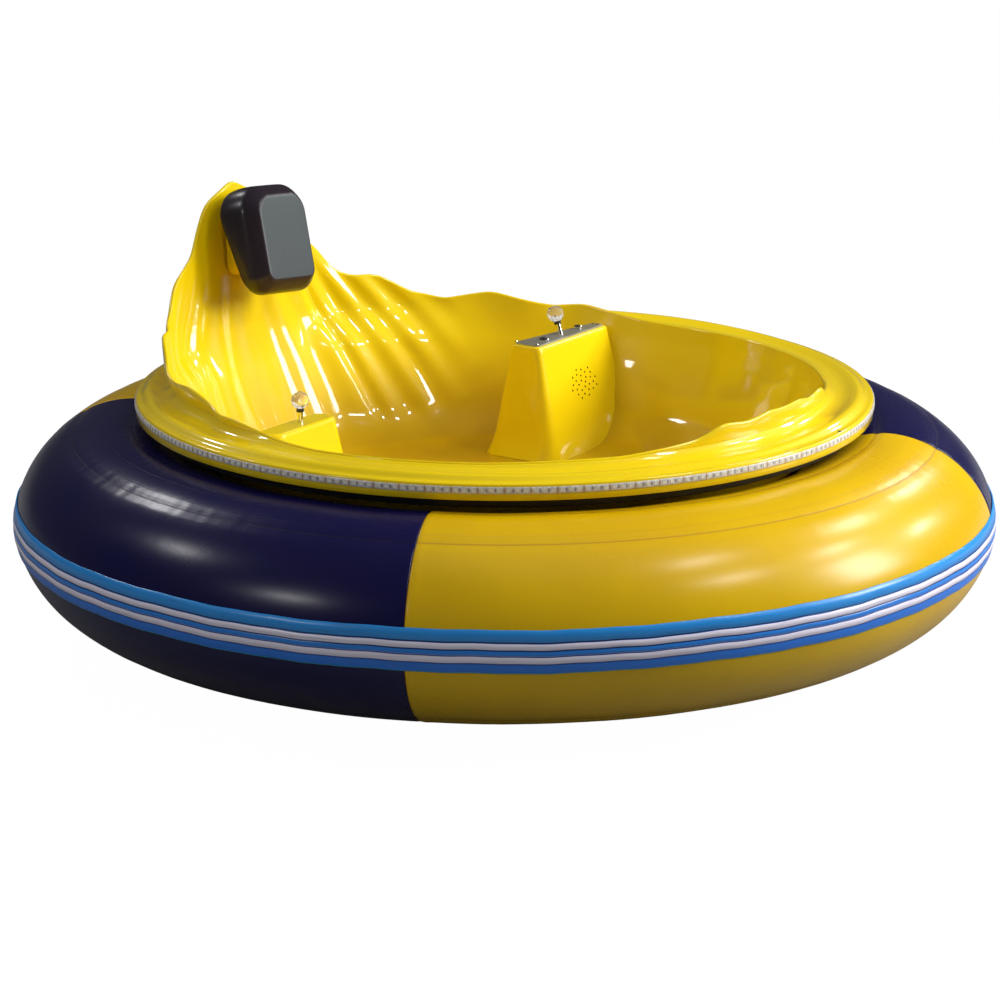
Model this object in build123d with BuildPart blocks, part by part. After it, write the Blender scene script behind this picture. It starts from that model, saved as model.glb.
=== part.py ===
"""Inflatable bumper car for one rider: a fluted moulded shell inside a large air tube.

The floor is Z = 0 and the origin is under the centre of the air tube.
The rider faces -Y, so the car's right hand is -X. All sizes are in millimetres.
"""
from build123d import *
from math import asin, cos, degrees, radians, sin, sqrt
import os

os.makedirs("parts", exist_ok=True)

# Clearances
seat_gap = 0.3          # between two pieces that seat on each other along a curve
running_gap = 0.05      # round a shaft or pin, on the radius

# Air tube
tube_outer_radius = 1000.0
tube_half_width = 220.6
tube_top_rise = 200.1       # from the widest line up
tube_bottom_drop = 200.0    # from the widest line down
tube_roundness = 1.86       # 2 is an ellipse, less is more pointed
tube_centre_height = 245.0
tube_first_seam = 23.8      # angle of the seam between the left and rear panels
tube_panels = ["rear_yellow", "right_navy", "front_yellow", "left_navy"]
band_height = 84.0
band_thickness = 3.0


def power(value, exponent):
    """Signed power, for the rounded outline of the air tube."""
    return (1 if value >= 0 else -1) * abs(value) ** exponent


def tube_point(angle, proud=0.0):
    """A point of the tube's cross-section, as distance from the axis and height."""
    rise = tube_top_rise if angle % 360 <= 180 else tube_bottom_drop
    across = power(cos(radians(angle)), 2 / tube_roundness)
    upward = power(sin(radians(angle)), 2 / tube_roundness)
    centre = tube_outer_radius - tube_half_width
    return (
        centre + (tube_half_width + proud) * across,
        tube_centre_height + (rise + proud) * upward,
    )


# The moulded shell holds the tube along this line of its inner side
tube_rest = tube_point(157.5)
tube_inside = tube_outer_radius - 2 * tube_half_width
tube_top = tube_centre_height + tube_top_rise

# Moulded shell. Its waist is where it holds the tube, and its deck is the ledge round the wall
shell_wall = 8.0
shallow_flute = 1.0
flute_count = 18
shell_waist = tube_rest[0] - seat_gap - shallow_flute
shell_floor_height = 170.0
deck_clearance = 56.9        # from the top of the tube to the deck
deck_height = tube_top + deck_clearance
seat_height = 262.0
seat_front = -20.0

# Rows of height, reach beyond the waist in X and in Y, and depth of the flutes at the back.
# The upper rows give their height above the deck.
lower_rows = [
    (shell_floor_height, -245.5, -245.5, shallow_flute),
    (tube_centre_height, -75.5, -75.5, shallow_flute),
    (tube_rest[1], 0.0, 0.0, shallow_flute),
]
upper_rows = [
    (-82.0, 46.5, 46.5, 2.0),
    (18.0, 80.5, 86.5, 5.0),
    (158.0, 100.5, 108.5, 10.0),
    (378.0, 124.5, 140.5, 10.0),
]
shell_sections = lower_rows + [(deck_height + rise, *row) for rise, *row in upper_rows]

# Deck moulding: a roll beside the shell, a groove, and a lip with the light strip on its face
deck_reach = 173.5
deck_radius = shell_waist + deck_reach
deck_wall = 12.0
deck_lip_width = 19.0
deck_lip_drop = 8.0
deck_lip_depth = 28.0
deck_edge = 4.0
deck_roll_width = 36.0
deck_roll_rise = 7.0
strip_height = 13.0
strip_thickness = 2.5
strip_drop = 16.0

# Dark skirt under the deck, over the top of the tube
skirt_inset = 21.0
skirt_width = 22.0
skirt_gap = 0.9

# Top edge of the shell from the side, front to back, and from behind, middle to left.
# Each row is a distance as a share of the deck's radius and a rise above the deck. Joints
# of two arcs and the crests or troughs that the arcs pass come by turns.
side_rim = [
    (-1.015, 60.0), (-0.935, 61.0),
    (-0.861, 52.0), (-0.801, 36.0),
    (-0.694, 20.0), (-0.441, 12.0),
    (-0.080, 8.0), (0.053, 8.0),
    (0.174, 19.0), (0.280, 34.0),
    (0.340, 29.0), (0.381, 27.0),
    (0.441, 36.0), (0.527, 55.0),
    (0.587, 47.0), (0.641, 41.0),
    (0.708, 55.0), (0.761, 88.0),
    (0.801, 102.0),
]
back_rim = [
    (0.414, 102.0), (0.378, 120.0),
    (0.350, 150.0), (0.320, 178.0),
    (0.274, 197.0), (0.224, 223.0),
    (0.190, 258.0), (0.155, 295.0),
    (0.115, 324.0), (0.061, 348.0),
    (0.0, 356.0),
]
rim_clear = 400.0

# Side consoles: side, name, length, reach of the outer end past the waist, top edge radius
console_drop = 2.0
console_top = deck_height - console_drop
console_centre_y = 172.0
console_width = 58.0
console_corner = 24.0
console_foot_width = 176.0
console_foot_spread = 30.0
console_foot_corner = 56.0
consoles = [(1, "left", 265.0, 24.5, 3.0), (-1, "right", 203.0, -0.5, 10.0)]
control_plate_thickness = 3.0
control_plate_inset = 6.0

# Joysticks: side, name, lean towards the back, height of the face that carries it
joystick_inset = 113.5
joystick_x = shell_waist - joystick_inset
joystick_rod_radius = 5.5
joystick_rod_length = 22.0
joystick_collar_radius = 7.5
joystick_collar_length = 7.0
joystick_ball_radius = 18.5
joystick_ball_height = 45.0
joysticks = [(1, "left", 18.0, console_top + control_plate_thickness), (-1, "right", 0.0, console_top)]

# Switches on the control plate: name, distance outwards from the joystick, radius, height
switches = [("start_button", -64.0, 7.0, 5.0), ("key_switch", 66.0, 9.0, 7.0)]

# Headrest pad
headrest_width = 196.0
headrest_height = 226.0
headrest_depth = 96.0
headrest_corner = 48.0
headrest_bevel = 26.0
headrest_lean = 16.0
headrest_roll = 6.0
headrest_setback = 24.5
headrest_rise = 250.0
headrest_base_width = 90.0
headrest_base_height = 120.0

# Chassis: two rails inside a ring, side arms, cross members and seat posts
rail_x = 220.0
rail_width = 40.0
rail_height = 30.0
rail_top = shell_floor_height
rail_bottom = rail_top - rail_height
ring_width = 30.0
ring_clearance = 8.8
ring_radius = tube_inside - ring_clearance - ring_width / 2
ring_weld_gap = 0.3
arm_y = 150.0
arm_width = 36.0
cross_width = 90.0
seat_post_y = 300.0
seat_post_size = 24.0

# Jacking pads under the rails
jack_y = 300.0
jack_width = 32.0
jack_length = 80.0
jack_thickness = 4.0

# Batteries under the seat, in a tray hung between the rails
battery_width = 168.0
battery_length = 285.0
battery_gap = 8.0
battery_headroom = 12.0
tray_thickness = 4.0
tray_bottom = 56.0

# Drive wheels and gear motors
drive_inset = 135.0
drive_x = ring_radius - drive_inset
drive_radius = 80.0
drive_width = 45.0
drive_tyre_fillet = 8.0
drive_hub_radius = 54.0
drive_hub_rim = 6.0
drive_hub_recess = 12.0
drive_hub_boss = 22.0
drive_hub_holes = 5
drive_hub_hole_radius = 8.0
drive_shaft_radius = 10.0
drive_shaft_grip = 32.0
drive_side_gap = 8.0
motor_radius = 38.0
motor_length = 104.0
motor_spigot_radius = 22.0
gearbox_size = 76.0
gearbox_length = 56.0
bracket_thickness = 8.0
bracket_drop = 34.0
bracket_weld_gap = 5.0

# Casters: name and place along the car
caster_inset = 85.0
casters = [("front", caster_inset - ring_radius), ("rear", ring_radius - caster_inset)]
caster_radius = 50.0
caster_width = 26.0
caster_tyre_fillet = 6.0
caster_hub_radius = 34.0
caster_hub_rim = 4.0
caster_hub_boss = 10.0
caster_hub_recess = 7.0
caster_trail = 32.0
caster_plate_size = 84.0
caster_plate_thickness = 5.0
caster_race_radius = 24.0
caster_race_height = 9.0
caster_turn_gap = 5.0
fork_crown_thickness = 6.0
fork_crown_radius = 27.0
fork_arm_thickness = 4.0
fork_arm_radius = 14.0
fork_side_gap = 5.0
caster_pin_radius = 5.0
kingpin_radius = 7.0
kingpin_grip = 10.0

# Inflation valve on the rear panel, under the widest line
valve_tilt = -40.0
valve_radius = 17.0
valve_neck_radius = 10.0
valve_flange = 5.0
valve_length = 16.0
valve_bore_radius = 4.0
valve_bore_depth = 12.0


def save(piece, name):
    """Label a finished piece and write it to its own file."""
    piece.part.label = name
    export_step(piece.part, f"parts/{name}.step")


def tube_arcs(start, end, count, proud=0.0):
    """Arcs along the tube's cross-section from one angle to another."""
    step = (end - start) / count
    for i in range(count):
        angle = start + i * step
        ThreePointArc(
            tube_point(angle, proud),
            tube_point(angle + step / 2, proud),
            tube_point(angle + step, proud),
        )


def arc_chain(points):
    """Arcs through a list of joints, each followed by the point that the arc passes."""
    for i in range(0, len(points) - 2, 2):
        ThreePointArc(points[i], points[i + 1], points[i + 2])


def rim_points(rows, side=1):
    """A rim table as points of a sketch, on one side of the middle."""
    return [(side * share * deck_radius, deck_height + rise) for share, rise in rows]


def ring_point(angle, reach_x, reach_y, proud):
    """A point of a shell section, seen from above, with the front at angle 0."""
    return (
        (shell_waist + reach_x + proud) * sin(radians(angle)),
        -(shell_waist + reach_y + proud) * cos(radians(angle)),
    )


def shell_solid(inset, lift):
    """The shell's outer form, moved in by one distance and up by another."""
    pitch = 180 / flute_count
    with BuildPart() as form:
        for height, reach_x, reach_y, flute in shell_sections:
            with BuildSketch(Plane.XY.offset(height + lift)):
                with BuildLine():
                    for i in range(2 * flute_count):
                        middle = i * pitch
                        share = (1 - cos(radians(middle))) / 2
                        depth = shallow_flute + (flute - shallow_flute) * share
                        side = 1 if i % 2 else -1
                        ThreePointArc(
                            ring_point(middle - pitch / 2, reach_x, reach_y, -inset),
                            ring_point(middle, reach_x, reach_y, side * depth - inset),
                            ring_point(middle + pitch / 2, reach_x, reach_y, -inset),
                        )
                make_face()
        loft(ruled=True)
    return form.part


shell_outside = shell_solid(0, 0)
shell_inside = shell_solid(shell_wall, shell_wall)
shell_cavity = shell_solid(shell_wall + seat_gap, shell_wall)
deck_hole = shell_solid(-seat_gap, 0)

# Air tube, four welded panels
for i, panel in enumerate(tube_panels):
    start = tube_first_seam + 90 * i
    panel_plane = Plane(origin=(0, 0, 0), x_dir=(cos(radians(start)), sin(radians(start)), 0),
                        z_dir=(sin(radians(start)), -cos(radians(start)), 0))
    with BuildPart() as tube_panel:
        with BuildSketch(panel_plane):
            with BuildLine():
                tube_arcs(0, 360, 8)
            make_face()
        revolve(axis=Axis.Z, revolution_arc=90)
    save(tube_panel, f"tube_{panel}")

# Striped band round the widest line of the tube
band_reach = degrees(asin((band_height / 2 / tube_top_rise) ** (tube_roundness / 2)))
with BuildPart() as rub_band:
    with BuildSketch(Plane.XZ):
        with BuildLine():
            tube_arcs(-band_reach, band_reach, 4, band_thickness + seat_gap)
            Line(tube_point(band_reach, band_thickness + seat_gap), tube_point(band_reach, seat_gap))
            tube_arcs(band_reach, -band_reach, 4, seat_gap)
            Line(tube_point(-band_reach, seat_gap), tube_point(-band_reach, band_thickness + seat_gap))
        make_face()
    revolve(axis=Axis.Z)
save(rub_band, "rub_band")

# Inflation valve: a flange on the tube and a neck with the filling bore
valve_foot = tube_point(valve_tilt)
valve_out = Vector(*tube_point(valve_tilt, 1.0)) - Vector(*valve_foot)
valve_plane = Plane(
    origin=(0, valve_foot[0], valve_foot[1]),
    x_dir=(1, 0, 0),
    z_dir=(0, valve_out.X, valve_out.Y),
)
with BuildPart() as tube_valve:
    with BuildSketch(valve_plane.offset(-valve_length)):
        Circle(valve_radius)
    extrude(amount=valve_length + valve_flange)
    with BuildSketch(valve_plane.offset(valve_flange)):
        Circle(valve_neck_radius)
    extrude(amount=valve_length - valve_flange)
    with BuildSketch(Plane.XZ):
        with BuildLine():
            tube_arcs(0, 360, 8, seat_gap)
        make_face()
    revolve(axis=Axis.Z, mode=Mode.SUBTRACT)
    with BuildSketch(valve_plane.offset(valve_length)):
        Circle(valve_bore_radius)
    extrude(amount=-valve_bore_depth, mode=Mode.SUBTRACT)
save(tube_valve, "tube_valve")

# Moulded tub: footwell, seat and fluted back in one shell with a wavy top edge
under_seat_y = seat_front + shell_wall
seat_underside = seat_height - shell_wall
with BuildPart() as cockpit:
    add(shell_inside)
    with BuildSketch(Plane.YZ):
        with Locations((seat_front, 0)):
            Rectangle(2 * tube_outer_radius, seat_height, align=(Align.MIN, Align.MIN))
    extrude(amount=tube_outer_radius, both=True, mode=Mode.SUBTRACT)
with BuildPart() as tub:
    add(shell_outside)
    with BuildSketch(Plane.YZ):
        with Locations((under_seat_y, 0)):
            Rectangle(2 * tube_outer_radius, seat_underside, align=(Align.MIN, Align.MIN))
    extrude(amount=tube_outer_radius, both=True, mode=Mode.SUBTRACT)
    add(cockpit.part, mode=Mode.SUBTRACT)
    side_points = rim_points(side_rim)
    back_start = side_points[-1][0]
    rim_limit = deck_height + rim_clear
    with BuildSketch(Plane.YZ):
        with BuildLine():
            arc_chain(side_points)
            Polyline(
                side_points[-1],
                (back_start, rim_limit),
                (side_points[0][0], rim_limit),
                side_points[0],
            )
        make_face()
    extrude(amount=tube_outer_radius, both=True, mode=Mode.SUBTRACT)
    back_points = rim_points(back_rim)
    with BuildSketch(Plane.XZ.offset(-back_start)):
        with BuildLine():
            arc_chain(back_points)
            arc_chain(rim_points(back_rim, -1))
            Polyline(
                back_points[0],
                (tube_outer_radius, back_points[0][1]),
                (tube_outer_radius, rim_limit),
                (-tube_outer_radius, rim_limit),
                (-tube_outer_radius, back_points[0][1]),
                (-back_points[0][0], back_points[0][1]),
            )
        make_face()
    extrude(amount=-tube_outer_radius, mode=Mode.SUBTRACT)
save(tub, "tub")

# Deck moulding: lip, groove and roll round the shell
deck_under = deck_height - deck_wall
lip_inside = deck_radius - deck_wall
lip_top = deck_height - deck_lip_drop
step_radius = deck_radius - deck_lip_width
with BuildPart() as deck:
    with BuildSketch(Plane.XZ):
        with BuildLine():
            Polyline(
                (step_radius - deck_roll_width, deck_height),
                (shell_waist, deck_height),
                (shell_waist, deck_under),
                (step_radius, deck_under),
                (lip_inside, deck_under - deck_wall),
                (lip_inside, lip_top - deck_lip_depth),
                (deck_radius, lip_top - deck_lip_depth),
                (deck_radius, lip_top),
                (deck_radius - deck_edge, lip_top + deck_edge),
                (step_radius, lip_top + deck_edge),
                (step_radius, deck_height),
            )
            ThreePointArc(
                (step_radius, deck_height),
                (step_radius - deck_roll_width / 2, deck_height + deck_roll_rise),
                (step_radius - deck_roll_width, deck_height),
            )
        make_face()
    revolve(axis=Axis.Z)
    add(deck_hole, mode=Mode.SUBTRACT)
save(deck, "deck_moulding")

# Light strip on the lip
strip_bottom = deck_height - strip_drop - strip_height / 2
with BuildPart() as light_strip:
    with BuildSketch(Plane.XY.offset(strip_bottom)):
        Circle(deck_radius + seat_gap + strip_thickness)
        Circle(deck_radius + seat_gap, mode=Mode.SUBTRACT)
    extrude(amount=strip_height)
save(light_strip, "light_strip")

# Dark skirt that closes the gap between the deck and the tube
skirt_radius = deck_radius - skirt_inset
with BuildPart() as deck_skirt:
    with BuildSketch(Plane.XY.offset(tube_top + skirt_gap)):
        Circle(skirt_radius)
        Circle(skirt_radius - skirt_width, mode=Mode.SUBTRACT)
    extrude(amount=deck_under - tube_top - skirt_gap)
save(deck_skirt, "deck_skirt")

# Side consoles, seated on the seat and against the wall of the tub
for side, name, length, past_waist, top_edge in consoles:
    outer = shell_waist + past_waist
    inner = outer - length
    with BuildPart() as console:
        foot_inner = inner - console_foot_spread
        foot_outer = outer + console_foot_spread
        with BuildSketch(Plane.XY.offset(seat_height)):
            with Locations((side * (foot_inner + foot_outer) / 2, console_centre_y)):
                RectangleRounded(foot_outer - foot_inner, console_foot_width, console_foot_corner)
        with BuildSketch(Plane.XY.offset(console_top)):
            with Locations((side * (inner + outer) / 2, console_centre_y)):
                RectangleRounded(outer - inner, console_width, console_corner)
        loft(ruled=True)
        fillet(console.faces().sort_by(Axis.Z)[-1].edges(), radius=top_edge)
        add(shell_cavity, mode=Mode.INTERSECT)
    save(console, f"{name}_console")

# Control plate on the left console
plate_outer = shell_waist + consoles[0][3] - control_plate_inset
plate_inner = plate_outer - consoles[0][2] + 2 * control_plate_inset
with BuildPart() as control_plate:
    with BuildSketch(Plane.XY.offset(console_top)):
        with Locations(((plate_inner + plate_outer) / 2, console_centre_y)):
            RectangleRounded(
                plate_outer - plate_inner,
                console_width - 2 * control_plate_inset,
                console_corner - control_plate_inset,
            )
    extrude(amount=control_plate_thickness)
save(control_plate, "control_plate")
for name, outwards, radius, rise in switches:
    with BuildPart() as switch:
        with BuildSketch(Plane.XY.offset(console_top + control_plate_thickness)):
            with Locations((joystick_x + outwards, console_centre_y)):
                Circle(radius)
        extrude(amount=rise)
        chamfer(switch.faces().sort_by(Axis.Z)[-1].edges(), length=radius / 6)
    save(switch, name)

# Joysticks: chrome rod, dark collar and clear ball
for side, name, lean, foot_height in joysticks:
    stick_plane = Plane(
        origin=(side * joystick_x, console_centre_y, foot_height),
        x_dir=(1, 0, 0),
        z_dir=(0, sin(radians(lean)), cos(radians(lean))),
    )
    with BuildPart() as rod:
        with BuildSketch(stick_plane.offset(-joystick_rod_radius)):
            Circle(joystick_rod_radius)
        extrude(amount=joystick_rod_length + joystick_rod_radius)
        split(bisect_by=Plane.XY.offset(foot_height), keep=Keep.TOP)
    save(rod, f"{name}_joystick_rod")
    with BuildPart() as collar:
        with BuildSketch(stick_plane.offset(joystick_rod_length)):
            Circle(joystick_collar_radius)
        extrude(amount=joystick_collar_length)
    save(collar, f"{name}_joystick_collar")
    with BuildPart() as ball:
        with Locations(stick_plane.offset(joystick_ball_height)):
            Sphere(joystick_ball_radius)
        ball_foot = stick_plane.offset(joystick_rod_length + joystick_collar_length)
        split(bisect_by=ball_foot, keep=Keep.TOP)
    save(ball, f"{name}_joystick_ball")

# Headrest pad and the block that carries it on the shell
lean = radians(headrest_lean)
roll = radians(headrest_roll)
headrest_plane = Plane(
    origin=(0, shell_waist - headrest_setback, deck_height + headrest_rise),
    x_dir=(cos(roll), -sin(roll) * sin(lean), -sin(roll) * cos(lean)),
    z_dir=(0, -cos(lean), sin(lean)),
)
with BuildPart() as headrest_pad:
    with BuildSketch(headrest_plane):
        RectangleRounded(headrest_width, headrest_height, headrest_corner)
    extrude(amount=-headrest_depth)
    front_face = headrest_pad.faces().sort_by(Axis(headrest_plane.origin, headrest_plane.z_dir))[-1]
    chamfer(front_face.edges(), length=headrest_bevel)
save(headrest_pad, "headrest_pad")
with BuildPart() as headrest_base:
    with BuildSketch(headrest_plane.offset(-headrest_depth)):
        RectangleRounded(headrest_base_width, headrest_base_height, headrest_bevel)
    extrude(amount=-headrest_depth)
    add(shell_cavity, mode=Mode.INTERSECT)
save(headrest_base, "headrest_base")

# Chassis ring: square tube rolled to a circle inside the air tube, welded round the frame
with BuildPart() as chassis_ring:
    with BuildSketch(Plane.XY.offset(rail_bottom)):
        Circle(ring_radius + ring_width / 2)
        Circle(ring_radius - ring_width / 2, mode=Mode.SUBTRACT)
    extrude(amount=rail_height)
save(chassis_ring, "chassis_ring")

# Chassis frame: rails, cross members and side arms cut to the ring's curve, seat posts and jacking pads
arm_outer = sqrt(ring_radius ** 2 - arm_y ** 2)
rail_length = 2 * sqrt(ring_radius ** 2 - rail_x ** 2)
with BuildPart() as chassis:
    with BuildSketch(Plane.XY.offset(rail_bottom)):
        with Locations((rail_x, 0), (-rail_x, 0)):
            Rectangle(rail_width, rail_length)
        with Locations(*[(0, y) for name, y in casters]):
            Rectangle(2 * rail_x, cross_width)
        with Locations(*[(side * (rail_x + arm_outer) / 2, y) for side in (1, -1) for y in (arm_y, -arm_y)]):
            Rectangle(arm_outer - rail_x, arm_width)
        Circle(ring_radius - ring_width / 2 - ring_weld_gap, mode=Mode.INTERSECT)
    extrude(amount=rail_height)
    with BuildSketch(Plane.XY.offset(rail_top)):
        with Locations((rail_x, seat_post_y), (-rail_x, seat_post_y)):
            Rectangle(seat_post_size, seat_post_size)
    extrude(amount=seat_underside - rail_top)
    with BuildSketch(Plane.XY.offset(rail_bottom)):
        with Locations(*[(x, y) for x in (rail_x, -rail_x) for y in (jack_y, -jack_y)]):
            Rectangle(jack_width, jack_length)
    extrude(amount=-jack_thickness)
save(chassis, "chassis_frame")

# Battery tray: a bent plate hung between the rails
tray_half_width = rail_x - rail_width / 2
tray_length = battery_length + 2 * tray_thickness
cross_front = ring_radius - caster_inset - cross_width / 2
battery_start_y = (under_seat_y + cross_front - tray_length) / 2
battery_height = seat_underside - tray_bottom - tray_thickness - battery_headroom
with BuildPart() as battery_tray:
    with BuildSketch(Plane.XZ.offset(-battery_start_y)):
        with Locations((0, tray_bottom)):
            Rectangle(2 * tray_half_width, rail_top - tray_bottom, align=(Align.CENTER, Align.MIN))
        with Locations((0, tray_bottom + tray_thickness)):
            Rectangle(
                2 * (tray_half_width - tray_thickness),
                rail_top - tray_bottom,
                align=(Align.CENTER, Align.MIN),
                mode=Mode.SUBTRACT,
            )
    extrude(amount=-tray_length)
save(battery_tray, "battery_tray")

# Two batteries side by side in the tray, plain blocks
with BuildPart() as batteries:
    with BuildSketch(Plane.XY.offset(tray_bottom + tray_thickness)):
        battery_x = (battery_width + battery_gap) / 2
        battery_y = battery_start_y + tray_length / 2
        with Locations((battery_x, battery_y), (-battery_x, battery_y)):
            Rectangle(battery_width, battery_length)
    extrude(amount=battery_height)
save(batteries, "batteries")

# Drive units: one wheel, gearbox, motor and bracket on each side, turning on the X axis
gearbox_outer = drive_x - drive_width / 2 - drive_side_gap
gearbox_inner = gearbox_outer - gearbox_length
bracket_inner = gearbox_inner - bracket_thickness
shaft_inner = gearbox_outer - drive_shaft_grip
for side, name in [(1, "left"), (-1, "right")]:
    axle_plane = Plane(origin=(0, 0, drive_radius), x_dir=(0, side, 0), z_dir=(side, 0, 0))
    with BuildPart() as gear_motor:
        with BuildSketch(axle_plane.offset(gearbox_inner)):
            Rectangle(gearbox_size, gearbox_size)
        extrude(amount=gearbox_length)
        fillet(gear_motor.edges().filter_by(Axis.X), radius=gearbox_size / 10)
        with BuildSketch(axle_plane.offset(gearbox_outer)):
            Circle(drive_shaft_radius + running_gap)
        extrude(amount=-drive_shaft_grip, mode=Mode.SUBTRACT)
        with BuildSketch(axle_plane.offset(bracket_inner)):
            Circle(motor_radius)
        extrude(amount=-motor_length)
        with BuildSketch(axle_plane.offset(bracket_inner)):
            Circle(motor_spigot_radius)
        extrude(amount=bracket_thickness)
    save(gear_motor, f"{name}_gear_motor")
    with BuildPart() as bracket:
        bracket_half = arm_y - arm_width / 2
        with BuildSketch(axle_plane.offset(bracket_inner)):
            with BuildLine():
                top = rail_top - bracket_weld_gap - drive_radius
                shoulder = rail_bottom - drive_radius
                foot = -bracket_drop
                Polyline(
                    (-bracket_half, top),
                    (bracket_half, top),
                    (bracket_half, shoulder),
                    (gearbox_size / 2, foot),
                    (-gearbox_size / 2, foot),
                    (-bracket_half, shoulder),
                    (-bracket_half, top),
                )
            make_face()
            Circle(motor_spigot_radius + seat_gap, mode=Mode.SUBTRACT)
        extrude(amount=bracket_thickness)
    save(bracket, f"{name}_motor_bracket")
    wheel_inner = drive_x - drive_width / 2
    with BuildPart() as drive_tyre:
        with BuildSketch(axle_plane.offset(wheel_inner)):
            Circle(drive_radius)
            Circle(drive_hub_radius + seat_gap, mode=Mode.SUBTRACT)
        extrude(amount=drive_width)
        outer_edges = drive_tyre.edges().filter_by(GeomType.CIRCLE).group_by(SortBy.RADIUS)[-1]
        fillet(outer_edges, radius=drive_tyre_fillet)
    save(drive_tyre, f"{name}_drive_tyre")
    with BuildPart() as drive_hub:
        with BuildSketch(axle_plane.offset(wheel_inner)):
            Circle(drive_hub_radius)
        extrude(amount=drive_width)
        hub_rim = drive_hub_radius - drive_hub_rim
        for face_offset, depth in [(wheel_inner, 1), (wheel_inner + drive_width, -1)]:
            with BuildSketch(axle_plane.offset(face_offset)):
                Circle(hub_rim)
                Circle(drive_hub_boss, mode=Mode.SUBTRACT)
            extrude(amount=depth * drive_hub_recess, mode=Mode.SUBTRACT)
        with BuildSketch(axle_plane.offset(wheel_inner)):
            with PolarLocations((hub_rim + drive_hub_boss) / 2, drive_hub_holes):
                Circle(drive_hub_hole_radius)
        extrude(amount=drive_width, mode=Mode.SUBTRACT)
        with BuildSketch(axle_plane.offset(shaft_inner + drive_side_gap / 2)):
            Circle(drive_shaft_radius)
        extrude(amount=wheel_inner - shaft_inner)
    save(drive_hub, f"{name}_drive_hub")

# Casters: plate with its race on a cross member, fork that swivels, wheel that rolls
race_top = rail_bottom - caster_plate_thickness
race_bottom = race_top - caster_race_height
crown_top = race_bottom - caster_turn_gap
crown_bottom = crown_top - fork_crown_thickness
fork_inside = caster_width / 2 + fork_side_gap
for name, caster_y in casters:
    wheel_y = caster_y + caster_trail
    with BuildPart() as caster_plate:
        with BuildSketch(Plane.XY.offset(race_top)):
            with Locations((0, caster_y)):
                RectangleRounded(caster_plate_size, caster_plate_size, caster_plate_size / 8)
        extrude(amount=caster_plate_thickness)
        with BuildSketch(Plane.XY.offset(race_bottom)):
            with Locations((0, caster_y)):
                Circle(caster_race_radius)
        extrude(amount=caster_race_height)
        with BuildSketch(Plane.XY.offset(race_bottom)):
            with Locations((0, caster_y)):
                Circle(kingpin_radius + running_gap)
        extrude(amount=caster_race_height + caster_plate_thickness, mode=Mode.SUBTRACT)
    save(caster_plate, f"{name}_caster_plate")
    with BuildPart() as caster_fork:
        with BuildSketch(Plane.XY.offset(crown_bottom)):
            with Locations((0, caster_y)):
                Circle(fork_crown_radius)
        extrude(amount=fork_crown_thickness)
        with BuildSketch(Plane.XY.offset(crown_top)):
            with Locations((0, caster_y)):
                Circle(kingpin_radius)
        extrude(amount=caster_turn_gap + kingpin_grip)
        for arm_side in (1, -1):
            with BuildSketch(Plane.YZ.offset(arm_side * fork_inside)):
                with BuildLine():
                    arm_half = sqrt(fork_crown_radius**2 - (fork_inside + fork_arm_thickness) ** 2)
                    Polyline(
                        (caster_y - arm_half, crown_top),
                        (caster_y + arm_half, crown_top),
                        (wheel_y + fork_arm_radius, caster_radius),
                        (wheel_y - fork_arm_radius, caster_radius),
                        (caster_y - arm_half, crown_bottom),
                        (caster_y - arm_half, crown_top),
                    )
                make_face()
                with Locations((wheel_y, caster_radius)):
                    Circle(fork_arm_radius)
            extrude(amount=arm_side * fork_arm_thickness)
        with BuildSketch(Plane.YZ.offset(-fork_inside)):
            with Locations((wheel_y, caster_radius)):
                Circle(caster_pin_radius)
        extrude(amount=2 * fork_inside)
    save(caster_fork, f"{name}_caster_fork")
    roll_plane = Plane(origin=(0, wheel_y, caster_radius), x_dir=(0, 1, 0), z_dir=(1, 0, 0))
    with BuildPart() as caster_tyre:
        with BuildSketch(roll_plane.offset(-caster_width / 2)):
            Circle(caster_radius)
            Circle(caster_hub_radius + seat_gap, mode=Mode.SUBTRACT)
        extrude(amount=caster_width)
        outer_edges = caster_tyre.edges().filter_by(GeomType.CIRCLE).group_by(SortBy.RADIUS)[-1]
        fillet(outer_edges, radius=caster_tyre_fillet)
    save(caster_tyre, f"{name}_caster_tyre")
    with BuildPart() as caster_hub:
        with BuildSketch(roll_plane.offset(-caster_width / 2)):
            Circle(caster_hub_radius)
        extrude(amount=caster_width)
        for end in (1, -1):
            with BuildSketch(roll_plane.offset(end * caster_width / 2)):
                Circle(caster_hub_radius - caster_hub_rim)
                Circle(caster_hub_boss, mode=Mode.SUBTRACT)
            extrude(amount=-end * caster_hub_recess, mode=Mode.SUBTRACT)
        with BuildSketch(roll_plane.offset(-caster_width / 2)):
            Circle(caster_pin_radius + running_gap)
        extrude(amount=caster_width, mode=Mode.SUBTRACT)
    save(caster_hub, f"{name}_caster_hub")
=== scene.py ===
from math import asin, cos, pi, radians, sin, sqrt

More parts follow.
